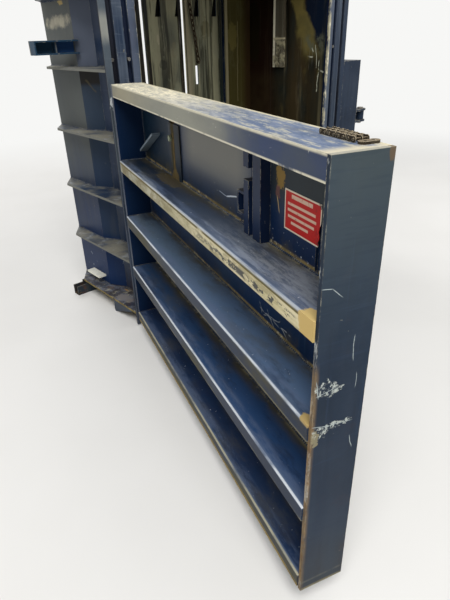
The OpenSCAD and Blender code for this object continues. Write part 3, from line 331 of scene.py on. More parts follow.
def doorSkinFinish():
    f = agedPaint("doorSkinPaint", chipShare=.03, filmShare=.15, plain=(20, 46, 84), deep=(10, 32, 62))
    p, q, z = doorAxes(f)
    out = f.ramp(q, .0115, .0125)
    inside = f.ramp(q, .002, .0005)
    f.coat(inside, (40, 38, 34), .5)
    f.coat(inside * f.runs(12, 5, .6, .2, .34, .66), (96, 92, 82), .4, metal=.3)
    topBay = f.ramp(z, .985, .99) * out
    # dusty grey field in the middle of the top bay, dark left and top right of it
    haze = f.band(p, .62, 1.17, .09) * f.ramp(z, 1.0, 1.16) * f.patches(4, 5, .6, .15, .5)
    f.coat(topBay * haze * .92, (136, 135, 128), .62)
    f.coat(topBay * f.ramp(p, .5, .38) * .8, (10, 30, 42), .4)
    right = topBay * f.ramp(p, 1.28, 1.33)
    f.coat(right * f.ramp(z, 1.08, 1.17) * .8, (52, 56, 54), .5)
    f.coat(right * f.ramp(z, 1.13, 1.06) * .6, (18, 36, 72), .3)
    f.coat(topBay * f.band(z, .98, 1.08, .03) * f.band(p, .6, 1.2, .1) * .6, (40, 53, 74), .4)
    # shelf joints: ochre and cream weld line, dirt fanned out above it
    for i, level in enumerate(door["shelves"]):
        line = f.ramp(z, level + .016, level + .008) * f.ramp(z, level - .002, level) * out
        f.coat(line * f.patches(12, 4, .6, .3, .5), (150, 132, 88), .75)
        f.coat(line * f.patches(40, 4, .7, .56, .62, (i, 2, 0)), (206, 196, 160), .6)
        fan = f.ramp(z, level + .075, level) * f.ramp(z, level - .002, level) * out
        f.coat(fan * f.patches(7, 5, .65, .45, .6, (0, i, 4)) * .6, (88, 82, 62), .8)
    # rust run under the bolt and a pale line beside it
    run = f.spot(p, z, (.47, 1.1), (.042, .14), .6, 18) * topBay
    f.coat(run * .85, (98, 74, 34), .85)
    f.coat(f.spot(p, z, (.462, 1.17), (.02, .07), .5, 40) * topBay, (70, 66, 34), .8)
    f.coat(f.spot(p, z, (.492, 1.07), (.012, .09), .7, 50) * topBay * .8, (150, 92, 40), .85)
    f.coat(f.scratch(p, z, (.515, 1.075), (.521, 1.015), .003) * topBay, (176, 170, 150), .6)
    # paint marks beside the guide and pale specks low on the right
    f.coat(f.spot(p, z, (1.361, 1.192), (.022, .032), .7, 40) * topBay * .85, (150, 122, 66), .7)
    f.coat(f.spot(p, z, (1.352, 1.15), (.012, .02), .7, 60) * topBay * .7, (122, 84, 78), .7)
    f.coat(f.scratch(p, z, (1.347, 1.135), (1.362, 1.095), .0025) * topBay, (186, 160, 112), .6)
    f.coat(f.scratch(p, z, (.946, 1.052), (1.012, 1.05), .0018, .006) * topBay, (170, 180, 196), .5)
    f.coat(f.scratch(p, z, (1.01, 1.05), (1.086, 1.066), .0032, .004) * topBay, (214, 222, 230), .5)
    grains = f.specks(90, .1, .02, move=(3, 3, 3))
    f.coat(grains * topBay * f.ramp(p, 1.29, 1.33) * f.ramp(z, 1.1, 1.04), (190, 196, 204), .5)
    f.coat(f.specks(70, .05, .02, move=(6, 1, 3)) * topBay * .7, (176, 174, 160), .5)
    # cobweb of chips under the first shelf's lip
    bayTwo = f.ramp(z, .71, .715) * f.ramp(z, .985, .98) * out
    for a, b in doorMarks["cobweb"]:
        f.coat(f.scratch(p, z, a, b, .0024, .014) * bayTwo * f.patches(50, 3, .6, .3, .6) * .8,
               (178, 182, 178), .5)
    f.coat(f.ramp(p, 1.5, .3) * (1 - topBay) * out * .4, (10, 32, 62))
    return f.close()


def doorTopFinish():
    f = agedPaint("doorTopPaint", chipShare=.04, filmShare=.2, edgeShare=.7)
    p, q, z = doorAxes(f)
    face = f.up
    front = f.ramp(q, .1405, .1425) * (1 - face)
    far = f.ramp(p, .45, 1.45)
    tone = f.blend(far, (238, 229, 200), (118, 128, 148))
    f.coat(face, tone, .62)
    rub = f.rubs(7, 6, .7, .35, .42, .62) * f.band(q, .03, .118, .02)
    f.coat(face * rub * .8, f.blend(far, (180, 177, 162), (82, 97, 124)), .5)
    f.coat(face * f.rubs(24, 5, .7, .2, .52, .64) * .5, (112, 112, 110), .7)
    f.coat(face * f.rubs(48, 6, .8, .3, .46, .56, (2, 2, 2)) * .55,
           f.blend(far, (126, 130, 134), (68, 88, 118)), .5)
    f.coat(face * f.rubs(64, 6, .8, .18, .5, .58, (3, 1, 2)) * .6, (192, 187, 164), .6)
    f.coat(face * f.ramp(q, .1365, .142) * f.patches(9, 4, .6, .25, .6) * .8, (196, 190, 168), .6)
    f.coat(face * f.ramp(q, .016, .006) * f.patches(9, 4, .6, .2, .5), (196, 188, 160), .6)
    # the front lip: tan at the hinge end, then grey, then blue
    f.coat(front, f.blend(f.ramp(p, .1, .8), (152, 146, 124), (142, 142, 130)), .6)
    f.coat(front * f.ramp(p, 1.15, 1.5), (36, 53, 78), .42)
    f.coat(front * f.rubs(8, 5, .6, .3, .34, .66) * .35, (96, 98, 100), .6)
    f.coat(front * f.ramp(p, 1.1, 1.5) * f.noise(6, 4, .6) * .5, (38, 56, 98), .35)
    f.coat(front * f.ramp(z, 1.327, 1.333) * f.patches(10, 4, .6, .2, .45), (208, 202, 180), .6)
    f.coat(front * f.ramp(z, 1.2865, 1.2825) * f.patches(16, 4, .6, .3, .5), (206, 200, 180), .55)
    f.coat(front * f.specks(80, .05, .02), (200, 198, 186), .5)
    # painted shadow: black on everything below the front lip's bottom edge
    f.coat(f.ramp(z, 1.2805, 1.2795), (26, 26, 26), .7)
    f.coat(f.ramp(p, 1.7, 1.745) * face * f.patches(14, 4, .6, .3, .55) * .8, (206, 196, 168), .6)
    return f.close()


def shelfFinish():
    f = agedPaint("shelfPaint", chipShare=.03, dustShare=.3, edgeShare=.55)
    p, q, z = doorAxes(f)
    face = f.up
    lip = f.ramp(q, .1455, .1475) * (1 - face)
    first = f.ramp(z, .92, .93)
    last = f.ramp(z, .15, .145)
    near = f.ramp(p, .1, 1.5)
    # tops: slate with brown dirt, a worn blue-grey strip along the outer edge
    upper = f.blend(near, (16, 30, 44), (76, 87, 106))
    # the lower shelves' tops get lighter tones level by level: their blue paint together with painted light
    # standing in for lamp light that does not reach between the bays
    secondLitTone = f.blend(near, (94, 112, 130), (90, 114, 146))
    thirdLitTone = f.blend(near, (42, 70, 106), (44, 74, 116))
    lowest = (30, 52, 86)
    tone = f.blend(f.ramp(z, .27, .28), lowest, thirdLitTone)
    tone = f.blend(f.ramp(z, .56, .57), tone, secondLitTone)
    f.coat(face * .85, f.blend(first, tone, upper), .4)
    f.coat(face * first * f.ramp(p, .95, 1.45) * f.rubs(26, 6, .8, .2, .4, .56) * .6,
           (152, 158, 164), .55)
    f.coat(face * f.rubs(5, 6, .7, .4, .46, .66) * .5, (84, 82, 72), .7)
    f.coat(face * f.rubs(9, 6, .7, .3, .5, .64, (4, 4, 2)) * .6, (34, 44, 66), .35)
    strip = f.ramp(q, .098, .118) * face
    f.coat(strip * f.rubs(18, 6, .8, .2, .38, .58) * .6, (92, 106, 132), .4)
    f.coat(strip * f.rubs(20, 5, .7, .12, .52, .62) * first * .35, (166, 174, 184), .4)
    joint = f.ramp(q, .066, .018) * face
    f.coat(joint * f.rubs(6, 6, .7, .5, .4, .6) * .85, (90, 82, 58), .8)
    f.coat(joint * f.ramp(q, .03, .016) * f.patches(11, 5, .7, .45, .55) * .7, (150, 142, 110), .75)
    f.coat(face * f.spot(p, q, (.49, .045), (.13, .04), .6, 14) * first * .6, (88, 78, 52), .85)
    f.coat(face * f.specks(80, .05, .02, move=(2, 2, 2)), (186, 190, 196), .5)
    # lips: a bright top edge on all, worn paint together with a painted highlight along the bend; the first
    # one is cream with black chips
    # the lower lips painted very dark: navy paint together with painted shade
    f.coat(lip * (1 - first) * .88, f.blend(near, (10, 24, 40), (18, 34, 58)), .36)
    dull = f.blend(near, (140, 138, 118), (194, 184, 144))
    cream = f.blend(f.rubs(15, 5, .7, .3, .34, .66), dull, f.blend(near, (168, 166, 148), (220, 210, 176)))
    f.coat(lip * first, cream, .6)
    f.coat(lip * first * f.rubs(30, 5, .75, .3, .48, .6, (1, 4, 2)) * .5, (124, 114, 82), .75)
    f.coat(lip * first * f.band(z, .977, .984, .0015) * f.patches(9, 4, .6, .25, .45), (104, 94, 58), .75)
    chips = f.rubs(52, 4, .75, .45, .49, .53) * f.band(z, .946, .966, .004)
    f.coat(lip * first * chips * f.ramp(p, .86, 1.3) * f.ramp(p, 1.69, 1.66) * .9, (36, 42, 54), .4)
    f.coat(lip * first * f.ramp(p, .9, .4) * f.patches(9, 5, .7, .42, .6) * .7, (116, 104, 72), .75)
    # each lip's bright top edge and the paler blue strip beside it: worn paint together with a painted
    # highlight along the bend
    for level in door["shelves"]:
        line = f.band(z, level - .0036, level + .001, .0008) * f.ramp(q, .1405, .144)
        f.coat(f.band(z, level - .007, level + .001, .002) * f.ramp(q, .134, .142) * near * .62,
               (102, 118, 142), .4)
        f.coat(line * f.rubs(8, 4, .6, .5, .3, .56) * (1 - first * .4),
               (176, 172, 150) if level < .2 else (214, 220, 226), .45)
        foot = f.ramp(z, level - .0445, level - .048) * f.ramp(z, level - .055, level - .053) * lip
        f.coat(foot * f.patches(8, 4, .6, .42, .64, (0, 3, 0)) * .55, (150, 144, 118), .6)
    # dull olive dirt along the lower lips, most on the lowest
    f.coat(lip * (1 - first) * f.rubs(5, 5, .65, .35, .48, .62) * .5, (98, 92, 62), .75)
    f.coat(lip * last * f.ramp(z, .112, .096) * f.patches(7, 4, .6, .25, .5), (150, 132, 84), .75)
    # ochre bare patches at the free ends
    f.coat(f.spot(p, q, (1.73, .134), (.036, .026), .5, 24) * first, (204, 178, 118), .6)
    f.coat(f.spot(p, z, (1.725, .972), (.035, .04), .5, 24) * lip * first * .8, (196, 168, 106), .6)
    f.coat(f.spot(p, q, (1.735, .135), (.03, .02), .5, 24) * f.band(z, .7, .72, .004), (176, 152, 100), .65)
    return f.close()


def doorEndFinish():
    f = agedPaint("doorEndPaint", chipShare=.03, filmShare=.1, plain=(14, 32, 50), deep=(10, 27, 43),
                  faded=(36, 52, 74), edgeShare=.4, gloss=.42)
    p, q, z = doorAxes(f)
    face = f.ramp(p, 1.7615, 1.7625)
    f.coat(face * f.ramp(z, .85, 1.36) * .5, (82, 92, 92), .5)
    f.coat(face * f.runs(3, 5, .6, .5, .4, .62) * .25, (58, 70, 84), .5)
    f.coat(face * f.noise(90, 2, .6, stretch=(.1, .1, 1), low=.5, high=.62) * .12, (20, 34, 54))
    # front edge: fine pale broken line above, tan and rust below
    front = f.ramp(q, .1385, .1415)
    f.coat(front * f.runs(30, 5, .7, .3, .52, .6) * .8, (186, 190, 188), .5)
    low = f.ramp(z, .9, .84)
    f.coat(f.ramp(q, .13, .143) * low * f.runs(14, 5, .65, .3, .3, .55) * .8, (142, 118, 82), .75)
    f.coat(front * low * f.patches(40, 4, .7, .5, .6) * .6, (112, 84, 56), .85)
    # the scrape at the front edge: a small ragged patch and lines that run back from it
    torn = f.runs(85, 5, .8, .8, .5, .58)
    f.coat(f.spot(q, z, (.134, .668), (.011, .022), .9, 46) * face * .8, (142, 134, 106), .7)
    for middle, reach in doorMarks["torn"]:
        f.coat(f.spot(q, z, middle, reach, .9, 50) * face * torn, (178, 184, 178), .6, height=-.2)
    for a, b, w in doorMarks["lines"]:
        f.coat(f.scratch(q, z, a, b, w, .008) * face * f.patches(90, 3, .6, .25, .5), (158, 168, 168), .5)
    # foot of the plate: scraped line, darker band under it, dirt
    f.coat(face * f.band(z, .112, .12, .003) * f.runs(18, 4, .7, .3, .4, .65) * .5, (120, 120, 104), .65)
    f.coat(face * f.ramp(z, .112, .104) * .45, (40, 48, 58), .6)
    f.coat(face * f.ramp(z, .094, .084) * f.patches(14, 4, .6, .3, .55), (150, 138, 104), .75)
    f.coat(f.ramp(z, 1.3335, 1.3345) * .7, (176, 172, 156), .55)
    f.coat(f.spot(q, z, (.006, 1.325), (.007, .02), .7, 50) * .7, (104, 84, 60), .8)
    f.coat(face * f.ramp(z, .36, .12) * .4, (58, 64, 68), .5)
    return f.close(sheen=.12)


def stileFinish():
    f = agedPaint("stilePaint")
    p, q, z = doorAxes(f)
    f.coat(f.ramp(p, .0292, .0298) * .85, (9, 28, 54), .4)
    return f.close()


# The chamber's inside: black grease, brown grime, teal remains of paint
grease = {
    "black": (17, 15, 12),
    "brown": (62, 52, 34),
    "teal": (28, 40, 40),
    "olive": (118, 106, 54),
    "dry": (112, 102, 78),
    "steel": (150, 148, 140),
}


def grimeOver(f, mask=1, smear=.5):
    f.coat(mask, grease["black"], .4)
    streak = f.runs(7, 6, .65, .09, .38, .62, (1, 0, 0))
    f.coat(mask * streak * .8, grease["brown"], .5)
    f.coat(mask * f.runs(4, 5, .6, .14, .46, .62, (6, 0, 2)) * .7, grease["teal"], .35)
    f.coat(mask * f.runs(13, 6, .7, .06, .56, .66, (2, 5, 1)) * .45, grease["dry"], .65)
    f.coat(mask * f.runs(34, 5, .7, .03, .62, .67, (8, 5, 1)) * .4, grease["steel"], .35, metal=.4)
    f.coat(mask * f.runs(4, 6, .7, .3, .58, .68, (3, 3, 9)) * smear * .6, grease["olive"], .5)


def backWallFinish():
    f = agedPaint("backWallPaint", filmShare=.4)
    inner = f.ramp(f.y, .3822, .3814)
    grimeOver(f, inner, .3)
    x, z = f.x, f.z
    # plates between the slots: dull olive grey, dark teal low down, a black band by the pockets
    f.coat(inner * f.ramp(x, .47, .44) * f.runs(3, 4, .5, .4, .2, .6) * .8, (150, 148, 120), .5)
    f.coat(inner * f.band(x, -.18, .13, .02) * f.ramp(z, 1.6, 1.3) * f.runs(5, 5, .6, .3, .4, .6) * .7,
           (26, 40, 46), .35)
    f.coat(inner * f.band(x, -.03, .09, .05) * f.ramp(z, 1.68, 1.58) * f.ramp(z, 1.4, 1.5) * .5,
           (30, 44, 50), .35)
    f.coat(inner * f.band(x, .15, .205, .006) * f.runs(7, 5, .6, .1, .3, .55) * .6, (104, 96, 76), .6)
    f.coat(inner * f.band(x, .26, .34, .02) * f.ramp(z, 1.56, 1.4) * .6, (28, 38, 42), .4)
    f.coat(inner * f.spot(x, z, (.335, 1.56), (.05, .06), .7, 16) * .6, (96, 90, 62), .55)
    f.coat(inner * f.spot(x, z, (.05, 1.43), (.022, .05), .3, 24) * .5, (104, 98, 78), .55)
    f.coat(inner * f.spot(x, z, (-.075, 1.5), (.012, .03), .5, 50) * .7, (148, 142, 118), .6)
    f.coat(inner * f.spot(x, z, (-.05, 1.35), (.03, .03), .4, 30) * .5, (16, 22, 28), .4)
    # long streaks: black beside the slots, grey green between
    f.coat(inner * f.runs(15, 6, .7, .05, .47, .56, (4, 1, 7)) * .75, (14, 15, 13), .35)
    f.coat(inner * f.runs(26, 6, .7, .04, .54, .62, (8, 2, 5)) * .5, (118, 118, 98), .5)
    f.coat(inner * f.runs(9, 6, .7, .5, .55, .62, (1, 6, 2)) * .45, (112, 114, 96), .5)
    # right of the last slot: olive, a thin pale streak, then dark red brown
    f.coat(inner * f.ramp(x, .5, .52) * .85, (66, 60, 29), .45)
    f.coat(inner * f.spot(x, z, (.585, 1.5), (.045, .1), .6, 12) * .6, (98, 90, 48), .5)
    f.coat(inner * f.scratch(x, z, (.637, 1.6), (.627, 1.06), .0035, .006) * .7, (124, 116, 88), .5)
    f.coat(f.band(x, .1445, .1465, .0004) * f.ramp(f.y, .3795, .382), (150, 142, 112), .6)
    f.coat(inner * f.ramp(x, .66, .74) * .75, (38, 20, 14), .4)
    return f.close()


# Bright streaks low on the right wall, by y and z, with their width
wallStreaks = (((-.19, 1.373), (-.23, 1.366), .006), ((-.3, 1.28), (-.33, 1.27), .007),
               ((-.284, 1.348), (-.28, 1.15), .004), ((-.255, 1.44), (-.262, 1.3), .003),
               ((-.22, 1.42), (-.235, 1.4), .006))


def sideWallFinish():
    f = agedPaint("sideWallPaint", plain=(32, 48, 74), faded=(62, 74, 94), filmShare=.4)
    side = f.x.size()
    inner = f.ramp(side, .7628, .7622)
    grimeOver(f, inner)
    right = inner * f.ramp(f.x, 0, .1)
    y, z = f.y, f.z
    # red brown at the rear with a thin pale streak, black low down
    f.coat(right * f.ramp(y, .1, .16) * .85, (32, 17, 11), .4)
    f.coat(right * f.spot(y, z, (.34, 1.52), (.07, .2), .4, 8) * .8, (26, 23, 10), .45)
    f.coat(right * f.ramp(z, 1.3, 1.18) * f.patches(4, 5, .6, .3, .6) * .6, (50, 42, 26), .5)
    # navy corner by the front post and the half-clear olive smear that slants across
    f.coat(right * f.ramp(y, -.13, -.17) * f.ramp(z, 1.42, 1.5) * .9, (8, 20, 38), .3)
    slant = (y + .08) + (1.69 - z) * .46
    wide = .045 + (1.74 - z) * .13
    rim = (f.noise(9, 3, .5) - .5) * .035
    smear = f.ramp((slant + rim).size() / wide, 1.3, .6) * f.ramp(z, 1.32, 1.46)
    f.coat(right * smear * .82, f.blend(f.noise(8, 4), (98, 90, 52), (116, 104, 58)), .42)
    f.coat(right * f.band(y, -.34, -.16, .03) * f.ramp(z, 1.36, 1.42) * f.ramp(z, 1.52, 1.48)
           * f.patches(18, 5, .7, .45, .6) * .7, (84, 88, 74), .5)
    # bright bits and streaks on the low front part
    for a, b, w in wallStreaks:
        f.coat(right * f.scratch(y, z, a, b, w, .01) * f.patches(40, 4, .6, .25, .5), (176, 178, 160), .5)
    f.coat(right * f.band(y, -.33, -.3, .008) * f.runs(8, 5, .6, .2, .35, .6) * .7, (98, 92, 70), .55)
    return f.close()


# Wall rails: grey worn steel, bright at the rear edge, battered at the lower end
def railFinish():
    f = Finish("railSteel", (84, 80, 68), .45)
    f.coat(f.runs(9, 5, .6, .08, .4, .62) * .7, (58, 50, 38), .5)
    f.coat(f.ramp(f.y, .1, .108) * f.runs(7, 4, .6, .12, .15, .4), (226, 220, 196), .4)
    f.coat(f.band(f.y, .03, .055, .006) * f.runs(8, 4, .6, .1, .3, .55, (2, 2, 2)) * .8, (166, 160, 138), .5)
    knot = f.band(f.z, 1.3, 1.49, .012)
    f.coat(knot * f.patches(22, 5, .7, .44, .62), (156, 150, 122), .5, height=.6)
    f.coat(knot * f.patches(30, 5, .7, .54, .64, (3, 1, 5)) * .6, (36, 32, 25), .6)
    f.coat(f.band(f.z, 1.478, 1.488, .003) * .8, (190, 180, 150), .5)
    f.coat(f.edges(.003) * f.patches(16, 4, .6, .3, .6) * .6, (150, 142, 118), .45)
    f.height = f.height + f.noise(60, 4) * .3
    return f.close()


# Guide bars: dark by the open slots, a dull cream one right of the last slot
def stripFinish():
    f = Finish("stripGrime", grease["black"], .45)
    grimeOver(f, smear=.3)
    f.coat(f.ramp(f.x, .495, .505) * f.runs(5, 4, .5, .12, .1, .4) * .85, (132, 124, 96), .5)
    f.coat(f.band(f.x, .15, .206, .003) * f.runs(6, 4, .55, .12, .15, .5) * .8, (142, 134, 110), .5)
    f.coat(f.band(f.x, -.49, -.46, .004) * f.ramp(f.z, 1.5, 1.2) * .5, (98, 94, 70), .5)
    f.coat(f.edges(.003) * f.runs(16, 4, .6, .2, .35, .6) * .5, (150, 142, 112), .45)
    f.height = f.noise(60, 4) * .3
    return f.close()


def rearPostFinish(name, dusty):
    f = agedPaint(name, plain=(26, 44, 76), faded=(54, 66, 90))
    outer = f.ramp(f.x.size(), .8308, .8316)
    slope = 1 - outer
    # grey dust on the outer face, thinning downwards to bare navy
    f.coat(outer * f.ramp(f.z, .62, 1.05) * dusty * (f.patches(3, 5, .6, .1, .5) * .35 + .55),
           (88, 91, 87), .62)
    f.coat(outer * f.ramp(f.z, 1.4, 1.5) * dusty * f.patches(2, 4, .5, .2, .6) * .6, (106, 108, 103), .62)
    tilt = f.z + (f.y - .2) * .05 - 1.606
    cloud = f.sumOfSquares((f.y - .215) / .165, tilt / .034) + (f.noise(22, 4, .6) - .5) * .8
    f.coat(f.ramp(cloud, 1.3, .1) * outer * dusty * .85, (180, 174, 154), .6)
    f.coat(f.spot(f.y, f.z, (.158, 1.7), (.03, .02), .6, 40) * outer * dusty * .9, (186, 162, 104), .6)
    # slanted part: slate above, navy below the first rib, soot under the ribs
    f.coat(slope * f.ramp(f.z, 1.0, 1.5) * .8, (92, 98, 110), .5)
    f.coat(slope * f.ramp(f.z, 1.378, 1.37) * .7, (46, 59, 72), .5)
    f.coat(slope * f.ramp(f.z, 1.05, .7) * .5, (24, 42, 72), .4)
    f.coat(slope * f.band(f.z, 1.3, 1.376, .014) * .8, (44, 38, 28), .7)
    f.coat(f.scratch(f.y, f.z, (.04, 1.317), (-.02, 1.27), .008, .02) * dusty * .5, (100, 92, 68), .7)
    f.coat(f.runs(12, 5, .6, .1, .5, .64) * .25, (70, 74, 78), .5)
    # bare deep blue below the lowest rib, with pale nicks
    low = f.ramp(f.z, .46, .4)
    f.coat(low * .8, (17, 42, 82), .36)
    f.coat(low * f.specks(52, .08, .02, stretch=(1, 1, .4)) * .8, (140, 150, 160), .5)
    return f.close()


def postFinish(name, side):
    f = agedPaint(name, plain=(60, 71, 86), faded=(102, 110, 119), chipShare=.05, edgeShare=.22)
    far = f.x.size()
    z = f.z
    front = f.ramp(f.y, -.38, -.3808)
    lip = f.ramp(far, .8825, .8835)
    jamb = f.ramp(far, .769, .767)
    hollow = f.ramp(f.y, -.3785, -.37)
    outer = lip * (1 - hollow)
    # painted shade: the recessed faces behind the front plane made dark navy, the recess beside the lip
    # darker still
    f.coat(hollow * .92, (12, 26, 54), .4)
    f.coat(hollow * f.ramp(far, .845, .851) * .7, (34, 32, 28), .6)
    f.coat(hollow * f.runs(14, 5, .6, .1, .5, .6) * .3, (60, 66, 80), .5)
    if side < 0:
        # dusty outer lip above with a painted highlight high on it, blue grey below
        pale = f.runs(6, 5, .6, .2, .1, .45)
        f.coat(outer * f.ramp(z, .55, 1.2) * pale * .9, (76, 84, 90), .62)
        f.coat(outer * f.band(z, 1.51, 1.62, .03) * f.runs(12, 4, .6, .2, .2, .5) * .5, (160, 158, 146), .6)
        f.coat(outer * f.ramp(z, .9, .5) * .7, (62, 72, 88), .5)
        f.coat(f.spot(far, z, (.905, 1.24), (.012, .03), .8, 50) * .8, (208, 212, 212), .5)
    else:
        f.coat((1 - jamb) * front * .75, (18, 32, 50), .4)
        f.coat((1 - jamb) * f.ramp(z, 1.2, 1.35) * f.runs(5, 5, .6, .3, .4, .6) * .4, (58, 66, 84), .5)
        f.coat(outer * .5, (28, 42, 62), .42)
    streaks = f.runs(17, 5, .65, .04, .46, .62, (2, 0, 3))
    f.coat((1 - lip) * (1 - hollow) * streaks * .4, (88, 99, 112), .45)
    f.coat(jamb * front * f.runs(8, 5, .6, .12, .4, .6) * .4, (84, 90, 108), .45)
    edge = f.ramp(far, .7312, .7275) if side < 0 else f.ramp(far, .748, .738)
    crust = f.runs(30, 6, .75, .4, .4, .56)
    f.coat(edge * crust * .8, (142, 136, 114) if side < 0 else (176, 170, 142), .8, height=.5)
    f.coat(edge * f.runs(48, 4, .7, .3, .56, .62), (206, 200, 174), .5)
    f.coat(edge * f.runs(20, 4, .7, .3, .56, .6, (5, 1, 1)), (70, 54, 36), .85)
    f.coat(f.ramp(z, .4, .05) * f.noise(9, 5, .6) * .4, (60, 54, 44), .85)
    return f.close()


def ribFinish():
    f = agedPaint("ribPaint", plain=(36, 52, 76), dustShare=.8, dust=(138, 134, 118), edgeShare=.6,
                  edgeWidth=.005, primer=(122, 118, 104))
    side = f.ramp(f.x.size(), .9155, .9168)
    f.coat((1 - f.up) * f.ramp(f.facing()[2], -.5, -.2) * f.patches(10, 5, .6, .2, .5) * .7,
           (98, 97, 88), .65)
    f.coat(side * .6, (122, 122, 114), .65)
    f.coat(f.up * f.patches(12, 6, .7, .54, .64) * .5, (150, 154, 158), .5)
    return f.close()


# Pockets behind the slots: paint outside, black with old dirt inside
def pocketFinish():
    f = agedPaint("pocketPaint", plain=(20, 36, 66), deep=(11, 24, 48))
    f.coat(f.ramp(f.facing()[1], -.4, -.6) * .95, grease["black"], .6)
    return f.close()


def lugFinish():
    f = agedPaint("lugPaint", plain=(38, 68, 90), deep=(28, 56, 78), faded=(38, 54, 72), filmShare=.1,
                  edgeShare=.2, dustShare=.3)
    # painted light: the back wall of the right cell made bright blue where it stands in shade
    litCellBack = f.ramp(f.x.size(), .946, .944) * f.ramp(f.y, .0765, .0775) * f.ramp(f.facing()[1], -.5, -.9)
    f.coat(litCellBack, (44, 76, 122), .45)
    web = f.band(f.x.size(), .944, .953, .001) * f.ramp(f.y, .046, .042)
    f.coat(web, (86, 90, 92), .6)
    f.coat(f.ramp(f.x.size(), 1.0685, 1.0695) * f.ramp(f.y, .07, .078) * .8, (112, 112, 104), .6)
    return f.close()


def bracketFinish():
    f = agedPaint("bracketPaint", plain=(20, 32, 46), deep=(12, 20, 32), edgeShare=.3)
    p, q, z = doorAxes(f)
    bar = f.ramp(p, .43, .42)
    strap = f.ramp(p, .43, .44)
    # the pale grey bar: brighter on its upper face as a painted highlight, a little darker on the other
    # faces
    f.coat(bar * f.up * .85, (176, 180, 172), .55)
    f.coat(bar * (1 - f.up) * .8, (128, 142, 152), .45)
    f.coat(strap * f.runs(9, 5, .6, .3, .4, .6) * .7, (62, 56, 36), .7)
    f.coat(strap * f.ramp(p, .5, .52) * .6, (20, 32, 42), .45)
    f.coat(strap * f.spot(p, z, (.486, 1.09), (.022, .14), .6, 18) * .85, (72, 64, 38), .8)
    f.coat(strap * f.spot(p, z, (.493, 1.07), (.005, .1), .8, 50) * .8, (128, 102, 56), .8)
    f.coat(strap * f.spot(p, z, (.5, 1.0), (.05, .03), .6, 30) * .8, (112, 96, 60), .8)
    f.coat(f.ramp(q, .0195, .0205) * strap, (150, 158, 132), .5)
    return f.close()


def basePlateFinish():
    f = agedPaint("basePlatePaint", plain=(48, 54, 72), dustShare=.6, dust=(92, 88, 82), rustShare=.6,
                  edgeShare=.5, primer=(150, 118, 66), grimeTop=.06)
    side = 1 - f.up
    f.coat(f.up * f.patches(10, 6, .7, .45, .6) * .7, (122, 126, 136), .6)
    f.coat(f.up * f.patches(24, 6, .75, .54, .62, (3, 2, 0)) * .7, (166, 160, 138), .65)
    f.coat(side * f.patches(12, 5, .65, .3, .5) * .9, (124, 110, 68), .85, height=.4)
    f.coat(side * f.patches(30, 4, .7, .52, .62), (152, 134, 84), .8)
    # dusty weld line along the walls and rusty bits beside it
    f.coat(f.up * f.band(f.x.size(), .772, .784, .003) * f.ramp(f.y, -.03, -.05)
           * f.patches(16, 4, .6, .3, .5) * .8, (134, 124, 96), .8)
    f.coat(f.up * f.spot(f.x, f.y, (-.8, -.08), (.008, .026), .6, 40) * .8, (166, 134, 84), .85)
    f.coat(f.up * f.spot(f.x, f.y, (-.855, .03), (.02, .03), .5, 40) * .4, (104, 86, 70), .85)
    f.coat(f.up * f.spot(f.x, f.y, (-.86, -.18), (.04, .07), .8, 14) * .7, (128, 122, 118), .7)
    inner = f.up * f.ramp(f.x.size(), .76, .74) * f.ramp(f.y, .38, .37)
    grimeOver(f, inner, .2)
    return f.close()


def footFinish():
    f = agedPaint("footPaint", plain=(40, 46, 48), deep=(28, 32, 32), dustShare=.4, dust=(90, 86, 74),
                  rustShare=.4, edgeShare=.5, primer=(132, 126, 108), grimeTop=.05)
    f.coat(f.patches(9, 6, .7, .5, .64) * .5, (58, 56, 46), .88, height=.4)
    f.coat(f.patches(26, 6, .75, .58, .66) * .6, (104, 90, 66), .9, height=.3)
    f.coat(f.ramp(f.x.size(), .895, .915) * f.ramp(f.y, -.05, -.1) * .6, (72, 82, 96), .6)
    return f.close()


# Rubbed steel: bright, oiled, rusty or dull by its values
steel = {"bright": (176, 176, 172), "dull": (112, 108, 100), "stain": (84, 62, 40)}


def steelFinish(name, ground, rough, stain=.4, oil=.3, metal=.9, along=(1, 1, .1)):
    f = Finish(name, ground, rough, metal)
    f.coat(f.noise(30, 5, .65, stretch=along) * .4, steel["dull"], rough + .1)
    f.coat(f.patches(12, 6, .7, .52, .64, (4, 1, 1)) * stain, steel["stain"], .8, metal=.1)
    f.coat(f.patches(5, 5, .6, .5, .64, (2, 9, 1)) * oil, grease["black"], .3, metal=.2)
    f.coat(f.edges(.0025) * f.patches(60, 4, .6, .35, .5) * .7, steel["bright"], .3, metal=.95)
    f.height = f.noise(260, 3) * .1 + f.noise(20, 3) * .2
    return f.close()


def enamelFinish(name, colour, worn, rough=.38, wear=.4, dirt=.4):
    f = Finish(name, colour, rough)
    f.coat(f.noise(3, 4) * .35, worn)
    f.coat(f.runs(16, 5, .65, .12, .5, .66) * dirt * .6, (66, 62, 54), .7)
    f.coat(f.edges(.003) * f.noise(36, 4, .7, low=.56 - wear * .2, high=.62 - wear * .1),
           (150, 148, 140), .5, metal=.4, height=-.2)
    f.coat(f.specks(46, .08), (96, 84, 66), .7, height=-.2)
    f.coat(f.ramp(f.facing()[2], .6, .9) * f.noise(8, 5, .65) * dirt, (140, 134, 120), .8)
    f.height = f.height + f.noise(380, 2) * .05 + f.noise(9, 2) * .15
    return f.close()


def chainFinish(name, ground, worn):
    f = Finish(name, ground, .5, .55)
    f.coat(f.patches(80, 4, .65, .35, .6) * .7, (58, 46, 34), .75, metal=.1)
    f.coat(f.patches(150, 3, .6, .5, .6, (3, 0, 0)) * .6, grease["black"], .35, metal=.1)
    f.coat(f.edges(.0016) * .8, worn, .35, metal=.8)
    f.height = f.noise(400, 3) * .2
    return f.close()


